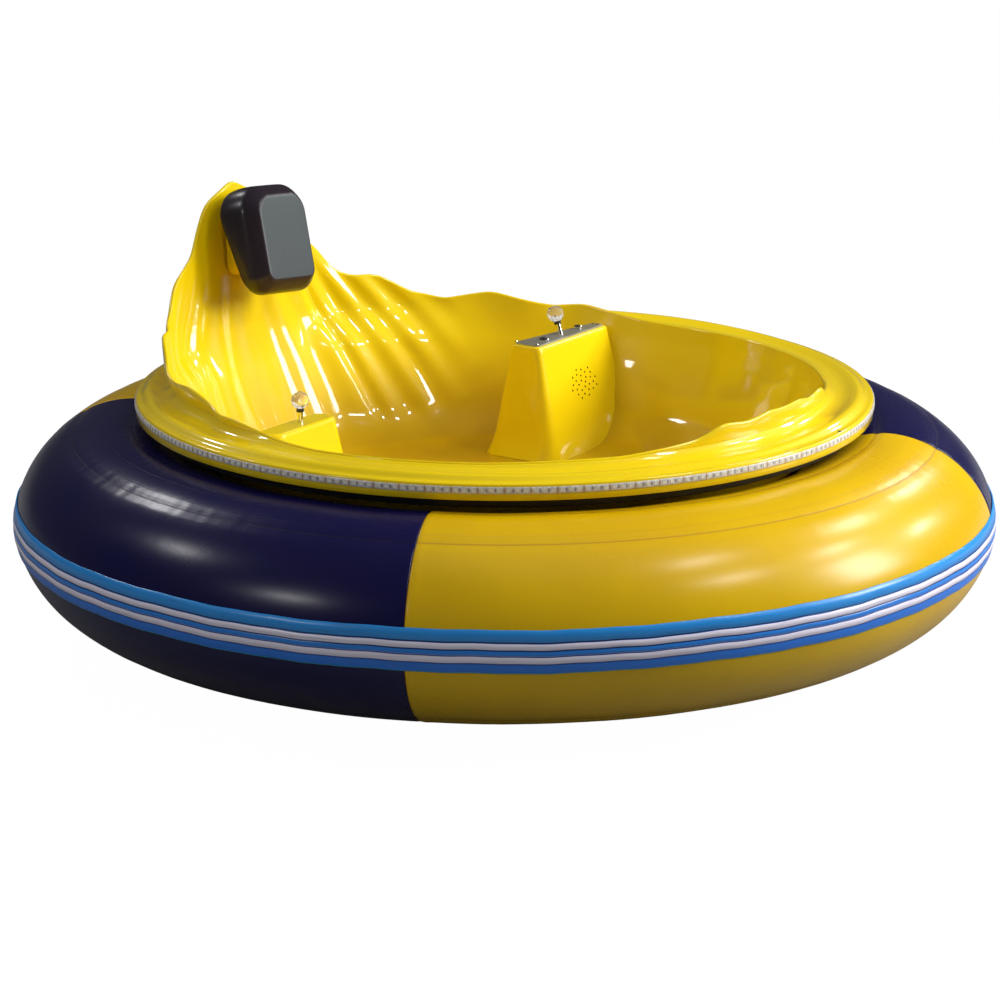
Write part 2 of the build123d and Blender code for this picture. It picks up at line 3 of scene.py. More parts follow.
import bmesh
import bpy
import numpy as np
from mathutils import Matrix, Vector


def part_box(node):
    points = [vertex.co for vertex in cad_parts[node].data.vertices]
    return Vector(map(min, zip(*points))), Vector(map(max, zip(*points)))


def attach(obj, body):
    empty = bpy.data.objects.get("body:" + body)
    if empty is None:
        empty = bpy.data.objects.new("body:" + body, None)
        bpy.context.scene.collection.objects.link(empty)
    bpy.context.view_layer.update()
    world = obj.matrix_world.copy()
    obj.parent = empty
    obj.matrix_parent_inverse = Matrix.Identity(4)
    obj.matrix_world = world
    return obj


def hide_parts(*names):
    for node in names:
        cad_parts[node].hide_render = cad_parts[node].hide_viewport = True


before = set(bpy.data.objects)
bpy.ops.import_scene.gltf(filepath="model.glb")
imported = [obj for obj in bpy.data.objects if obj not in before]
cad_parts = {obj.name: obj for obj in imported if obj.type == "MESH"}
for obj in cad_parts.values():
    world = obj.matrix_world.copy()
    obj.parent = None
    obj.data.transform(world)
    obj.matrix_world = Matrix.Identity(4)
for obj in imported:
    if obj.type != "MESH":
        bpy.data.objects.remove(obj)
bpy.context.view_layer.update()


# Camera: nine metres off on the rider's right of the nose, 15 degrees up, with a long lens.
# It looks at the middle of the car.
def way_out(turn, rise):
    """Direction at degrees round from the nose towards the rider's left, and degrees up."""
    turn, rise = radians(turn), radians(rise)
    return Vector((sin(turn) * cos(rise), -cos(turn) * cos(rise), sin(rise)))


def add_object(name, data):
    made = bpy.data.objects.new(name, data)
    bpy.context.collection.objects.link(made)
    return made


camera_aim, camera_distance, towards_camera = Vector((0, 0, 0.245)), 9.01, way_out(-55.5, 15.287)
camera = add_object("camera", bpy.data.cameras.new("camera"))
camera.location = camera_aim + camera_distance * towards_camera
camera.rotation_euler = towards_camera.to_track_quat("Z", "Y").to_euler()
camera.data.sensor_width = 36
camera.data.lens = 158.1
camera.data.shift_x = -0.00465
camera.data.shift_y = 0.00925
bpy.context.scene.camera = camera
bpy.context.scene.view_settings.view_transform = "Standard"


# Floor: a plain pale studio floor, white to the camera where no shadow falls on it, and a
# middle grey to the light that reaches the car from it.
class Wire:
    """One value in a material's nodes. A sum written on it adds a Math node."""

    def __init__(self, tree, socket=None):
        self.tree = tree
        self.socket = socket

    def node(self, kind, settings=(), sockets=(), output=0):
        """Adds any node: its settings first, then values or wires for its sockets."""
        made = self.tree.nodes.new("ShaderNode" + kind)
        for name, value in dict(settings).items():
            setattr(made, name, value)
        for name, value in dict(sockets).items():
            if isinstance(value, Wire):
                self.tree.links.new(value.socket, made.inputs[name])
            else:
                made.inputs[name].default_value = value
        return Wire(self.tree, made.outputs[output])

    def maths(self, operation, other=0.0):
        return self.node("Math", {"operation": operation}, {0: self, 1: other})

    def __add__(self, other):
        return self.maths("ADD", other)

    def __sub__(self, other):
        return self.maths("SUBTRACT", other)

    def __rsub__(self, other):
        return self.node("Math", {"operation": "SUBTRACT"}, {0: other, 1: self})

    def __mul__(self, other):
        return self.maths("MULTIPLY", other)

    def __truediv__(self, other):
        return self.maths("DIVIDE", other)

    def __abs__(self):
        return self.maths("ABSOLUTE")

    __radd__ = __add__
    __rmul__ = __mul__

    def rise(self, low, high):
        """Goes smoothly from 0 at low to 1 at high."""
        settings = {"interpolation_type": "SMOOTHSTEP"}
        return self.node("MapRange", settings, {0: self, 1: low, 2: high})

    def line(self, place, half_width):
        """1 on a thin line where the value is at its place, and 0 off it."""
        return 1 - abs(self - place).rise(half_width * 0.5, half_width)

    def blend(self, first, second):
        """A colour between two others, by this value."""
        return self.node("Mix", {"data_type": "RGBA"}, {0: self, 6: first, 7: second}, 2)

    def grain(self, scale, detail=2.0, stretch=(1, 1, 1)):
        """Even noise in the piece's own space, from 0 to 1."""
        place = self.node("TexCoord", output="Object")
        place = self.node("Mapping", (), {"Vector": place, "Scale": stretch})
        return self.node("TexNoise", (), {"Vector": place, "Scale": scale, "Detail": detail})

    def stored(self, name):
        """A number that the piece's mesh carries at its points."""
        return self.node("Attribute", {"attribute_name": name}, (), "Fac")


def paint(name, constants, surface, bump=0.3, depth=0.001):
    """A finish: constants stay on the shader, and surface gives what varies over the piece."""
    material = bpy.data.materials.new(name)
    material.use_nodes = True
    tree = material.node_tree
    shader = tree.nodes["Principled BSDF"]
    for socket, value in constants.items():
        shader.inputs[socket].default_value = value
    varied = surface(Wire(tree))
    if "Height" in varied:
        height = varied.pop("Height")
        bumped = {"Height": height, "Strength": bump, "Distance": depth}
        varied["Normal"] = height.node("Bump", (), bumped)
    for socket, wire in varied.items():
        tree.links.new(wire.socket, shader.inputs[socket])
    return material


def mesh_piece(name, points, faces, *finishes, **stored):
    """A smooth piece from its points and faces. Stored numbers go on its points, for its finish."""
    mesh = bpy.data.meshes.new(name)
    mesh.from_pydata([tuple(p) for p in points], [], faces)
    mesh.polygons.foreach_set("use_smooth", [True] * len(mesh.polygons))
    for finish in finishes:
        mesh.materials.append(finish)
    for label, values in stored.items():
        mesh.attributes.new(label, "FLOAT", "POINT").data.foreach_set("value", np.ravel(values))
    mesh.update()
    return add_object(name, mesh)


floor_grey, glow_strength, glow_share, floor_half = 0.24, 1.10, 0.9, 30
floor_constants = {"Base Color": (floor_grey, floor_grey, floor_grey, 1), "Roughness": 0.9}
floor_white = paint("floor_white", floor_constants, lambda wire: {})
floor_tree = floor_white.node_tree
floor_seen = Wire(floor_tree).node("LightPath", output="Is Camera Ray")
floor_glow = floor_seen.node("Emission", (), {"Color": (1, 1, 1, 1), "Strength": glow_strength})
floor_mix = floor_seen.node("MixShader", (), {
    0: floor_seen * glow_share,
    1: Wire(floor_tree, floor_tree.nodes["Principled BSDF"].outputs[0]),
    2: floor_glow,
})
floor_tree.links.new(floor_mix.socket, floor_tree.nodes["Material Output"].inputs["Surface"])
square = ((-1, -1), (1, -1), (1, 1), (-1, 1))
floor_corners = [(x * floor_half, y * floor_half, 0) for x, y in square]
floor = mesh_piece("floor", floor_corners, [(0, 1, 2, 3)], floor_white)

# Light: a soft even room that looks white, a window and a wide soft lamp in front of the car,
# a broad one above, and nine small ones all round. The two broad ones give no highlights.
world = bpy.data.worlds.new("studio")
bpy.context.scene.world = world
world.use_nodes = True
room = Wire(world.node_tree)
room_light, white_seen, mirror_loss = 0.25, 0.75, 0.2
seen = room.node("LightPath", output="Is Camera Ray")
seen = seen + room.node("LightPath", output="Is Transmission Ray")
mirrored = room.node("LightPath", output="Is Glossy Ray")
sky = world.node_tree.nodes["Background"]
sky.inputs["Color"].default_value = (1, 1, 1, 1)
sky_strength = (room_light + seen * white_seen - mirrored * mirror_loss).maths("MAXIMUM", 0.0)
world.node_tree.links.new(sky_strength.socket, sky.inputs["Strength"])

lamps = [
    # name, turn from the nose towards the left side, elevation, distance, width, height, watts
    ("front_window", 33, 20, 6.0, 1.3, 1.8, 130),
    ("fill", 44, 25, 7.0, 5.0, 3.0, 365),
    ("ceiling", 0, 86, 5.0, 4.0, 4.0, 55),
    ("hall_a", 166, 39, 6.5, 0.7, 0.5, 30),
    ("hall_b", -149, 38, 6.5, 0.8, 0.5, 30),
    ("hall_c", -106, 28, 6.5, 1.1, 0.4, 30),
    ("hall_d", 6, 41, 6.5, 1.0, 0.4, 40),
    ("hall_e", 16, 58, 6.5, 0.9, 0.4, 40),
    ("hall_f", 39, 36, 6.5, 0.8, 0.4, 40),
    ("hall_g", 60, 40, 6.5, 0.8, 0.4, 40),
    ("hall_h", 61, 20, 7.5, 0.8, 0.4, 40),
    ("hall_i", 84, 27, 7.5, 0.8, 0.5, 40),
]
lamp_aim = Vector((0, 0, 0.35))
for name, turn, elevation, distance, width, height, watts in lamps:
    lamp = add_object(name, bpy.data.lights.new(name, "AREA"))
    towards_lamp = way_out(turn, elevation)
    lamp.location = lamp_aim + distance * towards_lamp
    lamp.rotation_euler = towards_lamp.to_track_quat("Z", "Y").to_euler()
    lamp.data.shape = "RECTANGLE"
    lamp.data.size = width
    lamp.data.size_y = height
    lamp.data.energy = watts
    lamp.visible_glossy = name not in ("fill", "ceiling")

# Air tube: coated fabric cut as four coloured panels, each of an outer, a top and a bottom
# strip, lap-welded and blown up hard. The cloth puckers along the welds.
tube_middle, tube_half_width, tube_level = 0.7794, 0.2206, 0.245
tube_half_top, tube_half_foot = 0.2001, 0.2
tube_roundness = 1.86  # 2 would be an ellipse


def tube_skin(angle, proud=0.0):
    """The tube's rounded section: distance from the axis and height, at an angle of it."""
    angle = np.radians(angle)
    across, upward = (
        np.sign(value) * np.abs(value) ** (2 / tube_roundness)
        for value in (np.cos(angle), np.sin(angle))
    )
    half_height = np.where(upward > 0, tube_half_top, tube_half_foot)
    r = tube_middle + (tube_half_width + proud) * across
    return r, tube_level + (half_height + proud) * upward


def grid_faces(rows, columns, closed_rows=False, closed_columns=False):
    """Quads of a grid of points that is kept row after row."""
    faces = []
    for i in range(rows if closed_rows else rows - 1):
        for j in range(columns if closed_columns else columns - 1):
            a, b = i * columns, (i + 1) % rows * columns
            k = (j + 1) % columns
            faces.append((a + j, a + k, b + k, b + j))
    return faces


def fabric(name, colour, shade, weld):
    """Coated fabric: a soft shine, faint cloth grain, dust, and dark lines along the welds."""
    seam_line, lap_edge, lap_line, end_line = 0.0022, 0.024, 0.0012, 0.0015
    dust = (0.2, 0.17, 0.13, 1)

    def surface(wire):
        section = wire.stored("section")
        along = wire.stored("along")
        cloudy = wire.grain(3.0, 4.0)
        line = section.line(0.0, seam_line) + section.line(lap_edge, lap_line) * 0.5
        line = line + along.line(0.0, end_line) * 0.8
        low = wire.stored("low").rise(0.1, 1.0)
        clean = cloudy.rise(0.3, 0.75).blend(colour, shade)
        dusty = (low * 0.35 * wire.grain(14.0, 5.0)).blend(clean, dust)
        cloth = wire.grain(900.0, 1.0)
        return {
            "Base Color": (line * 0.55).maths("MINIMUM", 0.7).blend(dusty, weld),
            "Roughness": 0.2 + cloudy * 0.12 + low * 0.15 + line * 0.1,
            "Height": cloth * 0.04 + wire.grain(60.0, 3.0) * 0.25 - line * 0.6,
        }
    constants = {"Specular IOR Level": 0.3, "Coat Weight": 0.12, "Coat Roughness": 0.2}
    return paint(name, constants, surface, 0.25, 0.0012)


tube_yellow = fabric(
    "tube_yellow", (0.68, 0.425, 0.001, 1), (0.60, 0.36, 0.001, 1), (0.33, 0.13, 0.01, 1))
tube_navy = fabric(
    "tube_navy", (0.005, 0.004, 0.052, 1), (0.008, 0.006, 0.048, 1), (0.006, 0.005, 0.02, 1))
panel_columns, panel_rows = 341, 132
first_panel_start = 23.8
tube_seams = [61.0, 96.0, 302.0]
skin_sink, swell_height = 0.0006, 0.0004
pucker_height, pucker_reach = 0.0005, 0.03
seam_depth, seam_half = 0.0022, 0.006
end_depth, end_half, end_radius = 0.0012, 0.004, 0.9
lap_width, lap_edge_width, lap_height = 0.018, 0.002, 0.0005
for number, panel in enumerate(["rear_yellow", "right_navy", "front_yellow", "left_navy"]):
    start = radians(first_panel_start + 90 * number)
    turn = np.linspace(0, pi / 2, panel_columns)
    angle = np.linspace(0, 360, panel_rows, endpoint=False)[:, None] + 0 * turn
    turn = turn[None, :] + 0 * angle
    flat_r, flat_z = tube_skin(angle[:, 0])
    steps = np.hypot(np.diff(flat_r, append=flat_r[0]), np.diff(flat_z, append=flat_z[0]))
    length = np.concatenate([[0], np.cumsum(steps)[:-1]])
    proud = -skin_sink + 0 * turn
    section = 1.0 + 0 * turn
    whole = steps.sum()
    world_turn = turn + start
    for order, seam in enumerate(tube_seams):
        at = np.interp(seam, angle[:, 0], length)
        off = ((length - at + whole / 2) % whole - whole / 2)[:, None]
        section = np.where(np.abs(off) < np.abs(section), off, section)
        folds = (
            0.5 * np.sin(47 * world_turn + 1.3 * order)
            + 0.35 * np.sin(101 * world_turn + 2.0 * np.sin(5 * world_turn))
            + 0.25 * np.sin(163 * world_turn + order)
        )
        strength = 0.35 + 0.65 * np.clip(np.sin(3 * world_turn + order) + 0.3, 0, 1)
        reach = np.exp(-np.abs(off) / pucker_reach)
        proud += pucker_height * folds * strength * reach
        proud -= seam_depth * np.exp(-(off / seam_half) ** 2)
    near_end = np.minimum(turn, pi / 2 - turn) * end_radius
    proud -= end_depth * np.exp(-(near_end / end_half) ** 2)
    proud += swell_height * np.sin(19 * world_turn) * np.sin(np.radians(angle) * 3)
    proud += lap_height * np.clip((lap_width - turn * end_radius) / lap_edge_width, 0, 1)
    r, z = tube_skin(angle, np.minimum(proud, 0.0))
    points = np.stack([r * np.cos(world_turn), r * np.sin(world_turn), z], -1)
    low = np.clip((0.2 - z) / 0.15, 0, 1)
    faces = grid_faces(panel_rows, panel_columns, closed_rows=True)
    first = [i * panel_columns for i in range(panel_rows)]
    faces += [first, [i + panel_columns - 1 for i in reversed(first)]]
    finish = tube_yellow if "yellow" in panel else tube_navy
    piece = mesh_piece("tube_skin_" + panel, points.reshape(-1, 3), faces, finish,
                       section=section, along=near_end, low=low)
    for end_cap in piece.data.polygons[-2:]:
        end_cap.use_smooth = False
    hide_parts("tube_" + panel)
    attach(piece, "root")

# Rub band: printed strip welded round the widest line, blue with two white stripes, each
# stripe a little raised. Its edges are not quite even, as it is laid by hand.
band_width, band_lift, band_columns = 0.084, 0.0004, 900
band_rows = [
    # share of the height from the bottom, how proud, and colour number
    (0.0, 0.0003, 0), (0.02, 0.0016, 0), (0.03, 0.0018, 1), (0.21, 0.0020, 1),
    (0.235, 0.0012, 2), (0.25, 0.0012, 2), (0.262, 0.0026, 3), (0.40, 0.0026, 3),
    (0.412, 0.0012, 2), (0.43, 0.0012, 2), (0.44, 0.0020, 4), (0.535, 0.0020, 4),
    (0.545, 0.0010, 5), (0.565, 0.0010, 5), (0.577, 0.0026, 3), (0.705, 0.0026, 3),
    (0.715, 0.0010, 5), (0.74, 0.0010, 5), (0.75, 0.0022, 6), (0.985, 0.0022, 6),
    (1.0, 0.0003, 6),
]
# Colours 2 and 5 are thin dark lines in the shallow grooves on each side of the white stripes.
band_colours = [
    (0.03, 0.34, 0.40, 1), (0.007, 0.15, 0.62, 1), (0.004, 0.06, 0.30, 1), (0.72, 0.68, 0.80, 1),
    (0.010, 0.19, 0.66, 1), (0.006, 0.025, 0.13, 1), (0.014, 0.25, 0.68, 1),
]


def band_surface(wire):
    tone = wire.stored("tone")
    colour = band_colours[0]
    for number, next_colour in enumerate(band_colours[1:], 1):
        colour = tone.rise(number - 0.5, number - 0.49).blend(colour, next_colour)
    streaks = wire.grain(9.0, 5.0, (1, 1, 22))
    # On the band this is wear alone: darker streaks along it.
    wear_and_painted_sheen = (streaks.rise(0.55, 0.8) * 0.35).blend(colour, (0.01, 0.06, 0.2, 1))
    return {
        "Base Color": wear_and_painted_sheen,
        "Roughness": 0.22 + streaks * 0.2,
        "Height": streaks * 0.6 + wire.grain(500.0, 1.0) * 0.2,
    }


band_print = paint("band_print", {"Coat Weight": 0.2, "Coat Roughness": 0.15}, band_surface, 0.2)
around = np.linspace(0, 2 * pi, band_columns, endpoint=False)
sag = 0.0009 * np.sin(11 * around) + 0.0007 * np.sin(29 * around + 1) + 0.0004 * np.sin(67 * around)
band_points, band_tone = [], []
inner_rows = [(share, -band_lift, tone) for share, proud, tone in reversed(band_rows[::4])]
for share, proud, tone in band_rows + inner_rows:
    height = (share - 0.5) * band_width
    sine = min(1, (abs(height) / tube_half_top) ** (tube_roundness / 2))
    tilt = np.degrees(np.sign(height) * asin(sine))
    r, z = tube_skin(np.array([tilt]), max(proud, 0.0) + band_lift)
    r = r[0] + (0 if proud > 0 else -0.0001)
    z = tube_level + height * (1 + proud)
    ripple = sag * (1 - 0.5 * abs(share - 0.5))
    band_points.append(np.stack([r * np.cos(around), r * np.sin(around), z + ripple], -1))
    band_tone.append(np.full(band_columns, tone))
rub_band = mesh_piece(
    "rub_band_printed",
    np.concatenate(band_points),
    grid_faces(len(band_points), band_columns, True, True),
    band_print,
    tone=np.concatenate(band_tone),
)
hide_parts("rub_band")
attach(rub_band, "root")


# Inflation valve: a black moulded valve welded into the rear panel. The pump's nozzle goes
# into its neck, and a knurled collar sits round that.
def moulded(name, colour, roughness=0.45, scuff=0.15):
    """A moulded or painted finish with fine texture, small scuffs and slight wear."""
    def surface(wire):
        cloud = wire.grain(22.0, 4.0)
        scratched = wire.grain(90.0, 3.0, (1, 1, 0.15)).rise(0.62, 0.72)
        lighter = tuple(min(1.0, c + 0.08 + 0.3 * c) for c in colour[:3]) + (1,)
        return {
            "Base Color": (scratched * scuff + cloud * 0.12).blend(colour, lighter),
            "Roughness": roughness + cloud * 0.15 - scratched * 0.1,
            "Height": wire.grain(420.0, 2.0) * 0.4 + cloud * 0.3,
        }
    return paint(name, {}, surface, 0.2, 0.0008)


def dress(finish, *nodes):
    """Gives carried-over CAD pieces their finish."""
    for node in nodes:
        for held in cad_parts[node].material_slots:
            held.material = finish


def turn_faces_out(piece, sharp=180):
    """Turns all faces outwards, smooth but for edges of more degrees than the sharp angle."""
    work = bmesh.new()
    work.from_mesh(piece.data)
    bmesh.ops.recalc_face_normals(work, faces=work.faces)
    for face in work.faces:
        face.smooth = True
    for edge in work.edges:
        edge.smooth = edge.calc_face_angle(0) <= radians(sharp)
    work.to_mesh(piece.data)
    work.free()


def turned(name, profile, finish, centre, axis, columns, body, ripple=0.0):
    """A turned ring: a closed profile of (radius, distance along the axis) swept round. A
    ripple lifts every second point of the profile's middle rows, as knurling does."""
    side = axis.orthogonal().normalized()
    other = axis.cross(side)
    points = []
    for number, (radius, along) in enumerate(profile):
        for k in range(columns):
            angle = 2 * pi * k / columns
            lift = ripple if k % 2 and 0 < number < len(profile) - 1 else 0
            way = cos(angle) * side + sin(angle) * other
            points.append(centre + axis * along + radius * (1 + lift) * way)
    piece = mesh_piece(name, points, grid_faces(len(profile), columns, True, True), finish)
    turn_faces_out(piece, 38)
    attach(piece, body)
    return piece


valve_black = moulded("valve_black", (0.012, 0.012, 0.012, 1))
dress(valve_black, "tube_valve")
valve_drop, valve_lean, knurl_depth = 40.0, 1.075, 0.03
valve_r, valve_z = tube_skin(np.array([-valve_drop]))
valve_foot = Vector((0, valve_r[0], valve_z[0]))
valve_way = radians(valve_drop)
valve_out = Vector((0, cos(valve_way) ** valve_lean, -sin(valve_way) ** valve_lean)).normalized()
collar = [
    (0.0098, 0.0065), (0.0128, 0.0068), (0.0132, 0.0078),
    (0.0132, 0.0122), (0.0128, 0.0132), (0.0098, 0.0135),
]
valve_collar = turned(
    "valve_collar", collar, valve_black, valve_foot, valve_out, 60, "root", knurl_depth)

# Chassis, tray and brackets: square steel tube and plate, welded and painted black, chipped
# and dusty where the wheels throw dirt at them.
frame_paint = moulded("frame_paint", (0.018, 0.018, 0.02, 1), 0.35, 0.35)
dress(frame_paint, "chassis_ring", "chassis_frame", "battery_tray",
      "left_motor_bracket", "right_motor_bracket")


# Zinc-plated bolts: four under each caster plate and four in each motor bracket. Small items
# like them stand on Z = 0 and are set on their spots by Geometry Nodes.
def turned_item(profile, columns):
    """Points and faces of a little turned item: a profile of (radius, height) from its foot."""
    points = [(0, 0, profile[0][1])]
    for radius, height in profile:
        for k in range(columns):
            angle = 2 * pi * k / columns
            points.append((radius * cos(angle), radius * sin(angle), height))
    points.append((0, 0, profile[-1][1]))
    ring = [(1 + k, 1 + (k + 1) % columns) for k in range(columns)]
    last = (len(profile) - 1) * columns
    faces = [(0, there, here) for here, there in ring]
    faces += [
        (row + here, row + there, row + columns + there, row + columns + here)
        for row in range(0, last, columns) for here, there in ring
    ]
    return points, faces + [(last + here, last + there, len(points) - 1) for here, there in ring]


def place_on(name, item, spots, finish, body=None):
    """Geometry Nodes set the item on every spot, a place with the way out of the surface and
    the way up along it, and join all of them into one plain mesh."""
    shape = bpy.data.meshes.new("item")
    shape.from_pydata(item[0], [], item[1])
    pattern = add_object("item", shape)
    piece = mesh_piece(name, [place for place, out, up in spots], [])
    for column, label in enumerate(("out", "up"), 1):
        ways = piece.data.attributes.new(label, "FLOAT_VECTOR", "POINT")
        ways.data.foreach_set("vector", np.ravel([tuple(spot[column]) for spot in spots]))
    tree = bpy.data.node_groups.new(name, "GeometryNodeTree")
    face = tree.interface
    face.new_socket("Spots", in_out="INPUT", socket_type="NodeSocketGeometry")
    inputs = [
        (face.new_socket(label, in_out="INPUT", socket_type="NodeSocket" + kind), value)
        for label, kind, value in (
            ("Item", "Object", pattern), ("Finish", "Material", finish), ("Size", "Float", 1.0))
    ]
    face.new_socket("Items", in_out="OUTPUT", socket_type="NodeSocketGeometry")

    def add(kind, settings=(), **sockets):
        """Adds a node: its settings, then the outputs that feed its sockets."""
        made = tree.nodes.new(kind)
        for key, value in dict(settings).items():
            setattr(made, key, value)
        for key, value in sockets.items():
            if isinstance(value, bpy.types.NodeSocket):
                tree.links.new(value, made.inputs[key])
            else:
                made.inputs[key].default_value = value
        return made.outputs

    given = add("NodeGroupInput")
    source = add("GeometryNodeObjectInfo", Object=given["Item"])
    turn = {}
    for label, axis, pivot in (("out", "Z", "AUTO"), ("up", "Y", "Z")):
        way = add("GeometryNodeInputNamedAttribute", {"data_type": "FLOAT_VECTOR"}, Name=label)
        settings, turn["Vector"] = {"axis": axis, "pivot_axis": pivot}, way["Attribute"]
        turn = {"Rotation": add("FunctionNodeAlignRotationToVector", settings, **turn)["Rotation"]}
    placed = {"Points": given["Spots"], "Instance": source["Geometry"], "Scale": given["Size"]}
    set_on = add("GeometryNodeInstanceOnPoints", **placed, **turn)
    real = add("GeometryNodeRealizeInstances", Geometry=set_on["Instances"])
    coat = add("GeometryNodeSetMaterial", Geometry=real["Geometry"], Material=given["Finish"])
    add("NodeGroupOutput", Items=coat["Geometry"])
    setter = piece.modifiers.new("set", "NODES")
    setter.node_group = tree
    for socket, value in inputs:
        setter[socket.identifier] = value
    bake_modifiers(piece)
    bpy.data.objects.remove(pattern)
    if body:
        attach(piece, body)
    return piece


def bake_modifiers(piece):
    """Puts the plain mesh that the modifiers give in the piece's place, without them."""
    piece.update_tag()
    bpy.context.view_layer.update()
    shown = piece.evaluated_get(bpy.context.evaluated_depsgraph_get())
    plain = bpy.data.meshes.new_from_object(shown)
    piece.modifiers.clear()
    piece.data = plain


def clouded(name, constants, cloud_size, first, second, roughness, spread, bump=0.0):
    """A finish that drifts between two colours and, a little, in its roughness and height."""
    def surface(wire):
        cloud = wire.grain(*cloud_size)
        varied = {"Base Color": cloud.blend(first, second), "Roughness": roughness + cloud * spread}
        return {**varied, "Height": cloud} if bump else varied
    return paint(name, constants, surface, bump)


zinc_steel = clouded("zinc_steel", {"Metallic": 1.0}, (120.0, 4.0),
                     (0.42, 0.43, 0.44, 1), (0.62, 0.61, 0.58, 1), 0.28, 0.25, 0.12)
bolt_head = turned_item(
    [(0.0062, -0.0004), (0.0062, 0.0006), (0.0052, 0.0008), (0.0052, 0.0038), (0.0046, 0.0044)], 6)
caster_reach, bolt_half_pitch, plate_underside = 0.45, 0.032, 0.1350
caster_bolt_spots = [
    ((x, y + side * bolt_half_pitch, plate_underside), (0, 0, -1), (0, 1, 0))
    for y in (-caster_reach, caster_reach)
    for x in (-bolt_half_pitch, bolt_half_pitch)
    for side in (-1, 1)
]
place_on("caster_bolts", bolt_head, caster_bolt_spots, zinc_steel, "root")
bracket_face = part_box("left_motor_bracket")[0][0] - 0.0001
bracket_bolts = [(-0.105, 0.152), (0.105, 0.152), (-0.05, 0.1), (0.05, 0.1)]
bracket_bolt_spots = [
    ((side * bracket_face, y, z), (-side, 0, 0), (0, 0, 1))
    for side in (1, -1) for y, z in bracket_bolts
]
place_on("bracket_bolts", bolt_head, bracket_bolt_spots, zinc_steel, "root")

# Batteries: two sealed blocks in dark grey moulded cases, side by side on their tray. Each
# has two plated terminals on its top.
battery_case = moulded("battery_case", (0.03, 0.031, 0.036, 1), 0.5)
dress(battery_case, "batteries")
terminal = turned_item([
    (0.009, -0.0003), (0.009, 0.006), (0.0085, 0.0065),
    (0.0062, 0.0066), (0.0058, 0.009), (0.0052, 0.0094),
], 24)
upright = (0, 0, 1), (0, 1, 0)
battery_foot, battery_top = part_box("batteries")
terminal_inset, terminal_sides = 0.03, (-0.14, -0.04, 0.04, 0.14)
terminal_spots = [
    ((x, battery_foot[1] + terminal_inset, battery_top[2]), *upright) for x in terminal_sides
]
place_on("battery_terminals", terminal, terminal_spots, zinc_steel, "root")

# Gear motors: a round motor on a square cast gearbox, painted dark grey. Each is bolted to
# its bracket and turns one drive wheel.
motor_paint = moulded("motor_paint", (0.05, 0.052, 0.056, 1), 0.4, 0.25)
dress(motor_paint, "left_gear_motor", "right_gear_motor")

# Drive wheels: solid rubber tyres with cross lugs, pressed on cast aluminium hubs. Each hub
# is held on its shaft by one zinc-plated nut.
tyre_black = moulded("tyre_black", (0.014, 0.014, 0.014, 1), 0.65, 0.2)


def cast_surface(wire):
    cloud = wire.grain(60.0, 5.0)
    dusty = wire.grain(15.0, 4.0).rise(0.45, 0.8)
    return {
        "Base Color": (dusty * 0.6).blend((0.55, 0.56, 0.57, 1), (0.25, 0.23, 0.2, 1)),
        "Roughness": 0.38 + cloud * 0.25,
        "Height": cloud,
    }


def square_item(layers):
    """Points and faces of a little square item: layers of (height, half length, half width)."""
    points = [
        (x * half_x, y * half_y, z)
        for z, half_x, half_y in layers for x, y in square
    ]
    last = 4 * (len(layers) - 1)
    faces = [(3, 2, 1, 0), (last, last + 1, last + 2, last + 3)]
    faces += [
        (a + k, a + (k + 1) % 4, a + 4 + (k + 1) % 4, a + 4 + k)
        for a in range(0, last, 4) for k in range(4)
    ]
    return points, faces


hub_cast = paint("hub_cast", {"Metallic": 1.0}, cast_surface, 0.25)
wheel_out, wheel_height, tread_radius = 0.4, 0.08, 0.0775
drive_profile = [
    # distance from the axle, distance along it
    (0.0544, -0.0222), (0.0700, -0.0222), (0.0745, -0.0205), (0.0768, -0.0170), (0.0775, -0.0120),
    (0.0775, -0.0016), (0.0762, -0.0010), (0.0762, 0.0010), (0.0775, 0.0016), (0.0775, 0.0120),
    (0.0768, 0.0170), (0.0745, 0.0205), (0.0700, 0.0222), (0.0544, 0.0222),
]
lug = square_item([(-0.0006, 0.0095, 0.0042), (0.0018, 0.0090, 0.0036), (0.0023, 0.0084, 0.0031)])
lug_count, lug_row_out, lug_slant, lug_stagger = 36, 0.0105, 0.35, 0.25
for name, side in (("left", 1), ("right", -1)):
    wheel = name + "_drive_wheel"
    centre = Vector((side * wheel_out, 0, wheel_height))
    tyre = turned(name + "_drive_tyre_rubber", drive_profile, tyre_black, centre,
                  Vector((1, 0, 0)), 120, wheel)
    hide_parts(name + "_drive_tyre")
    lug_spots = []
    for k, row in [(k, row) for k in range(lug_count) for row in (-1, 1)]:
        turn = 2 * pi * (k + lug_stagger * row) / lug_count
        out, slant = Vector((0, cos(turn), sin(turn))), row * lug_slant
        along = Vector((1, -slant * sin(turn), slant * cos(turn))).normalized()
        place = centre + tread_radius * out + Vector((row * lug_row_out, 0, 0))
        lug_spots.append((place, out, out.cross(along)))
    place_on(name + "_drive_lugs", lug, lug_spots, tyre_black, wheel)
    dress(hub_cast, name + "_drive_hub")
nut = turned_item(
    [(0.0068, -0.0003), (0.0068, 0.0008), (0.0055, 0.001), (0.0055, 0.005), (0.0048, 0.0056)], 6)
hub_face = 0.4225
for name, side in (("left", 1), ("right", -1)):
    nut_spot = (side * hub_face, 0, wheel_height), (side, 0, 0), (0, 0, 1)
    place_on(name + "_hub_nuts", nut, [nut_spot], zinc_steel, name + "_drive_wheel")

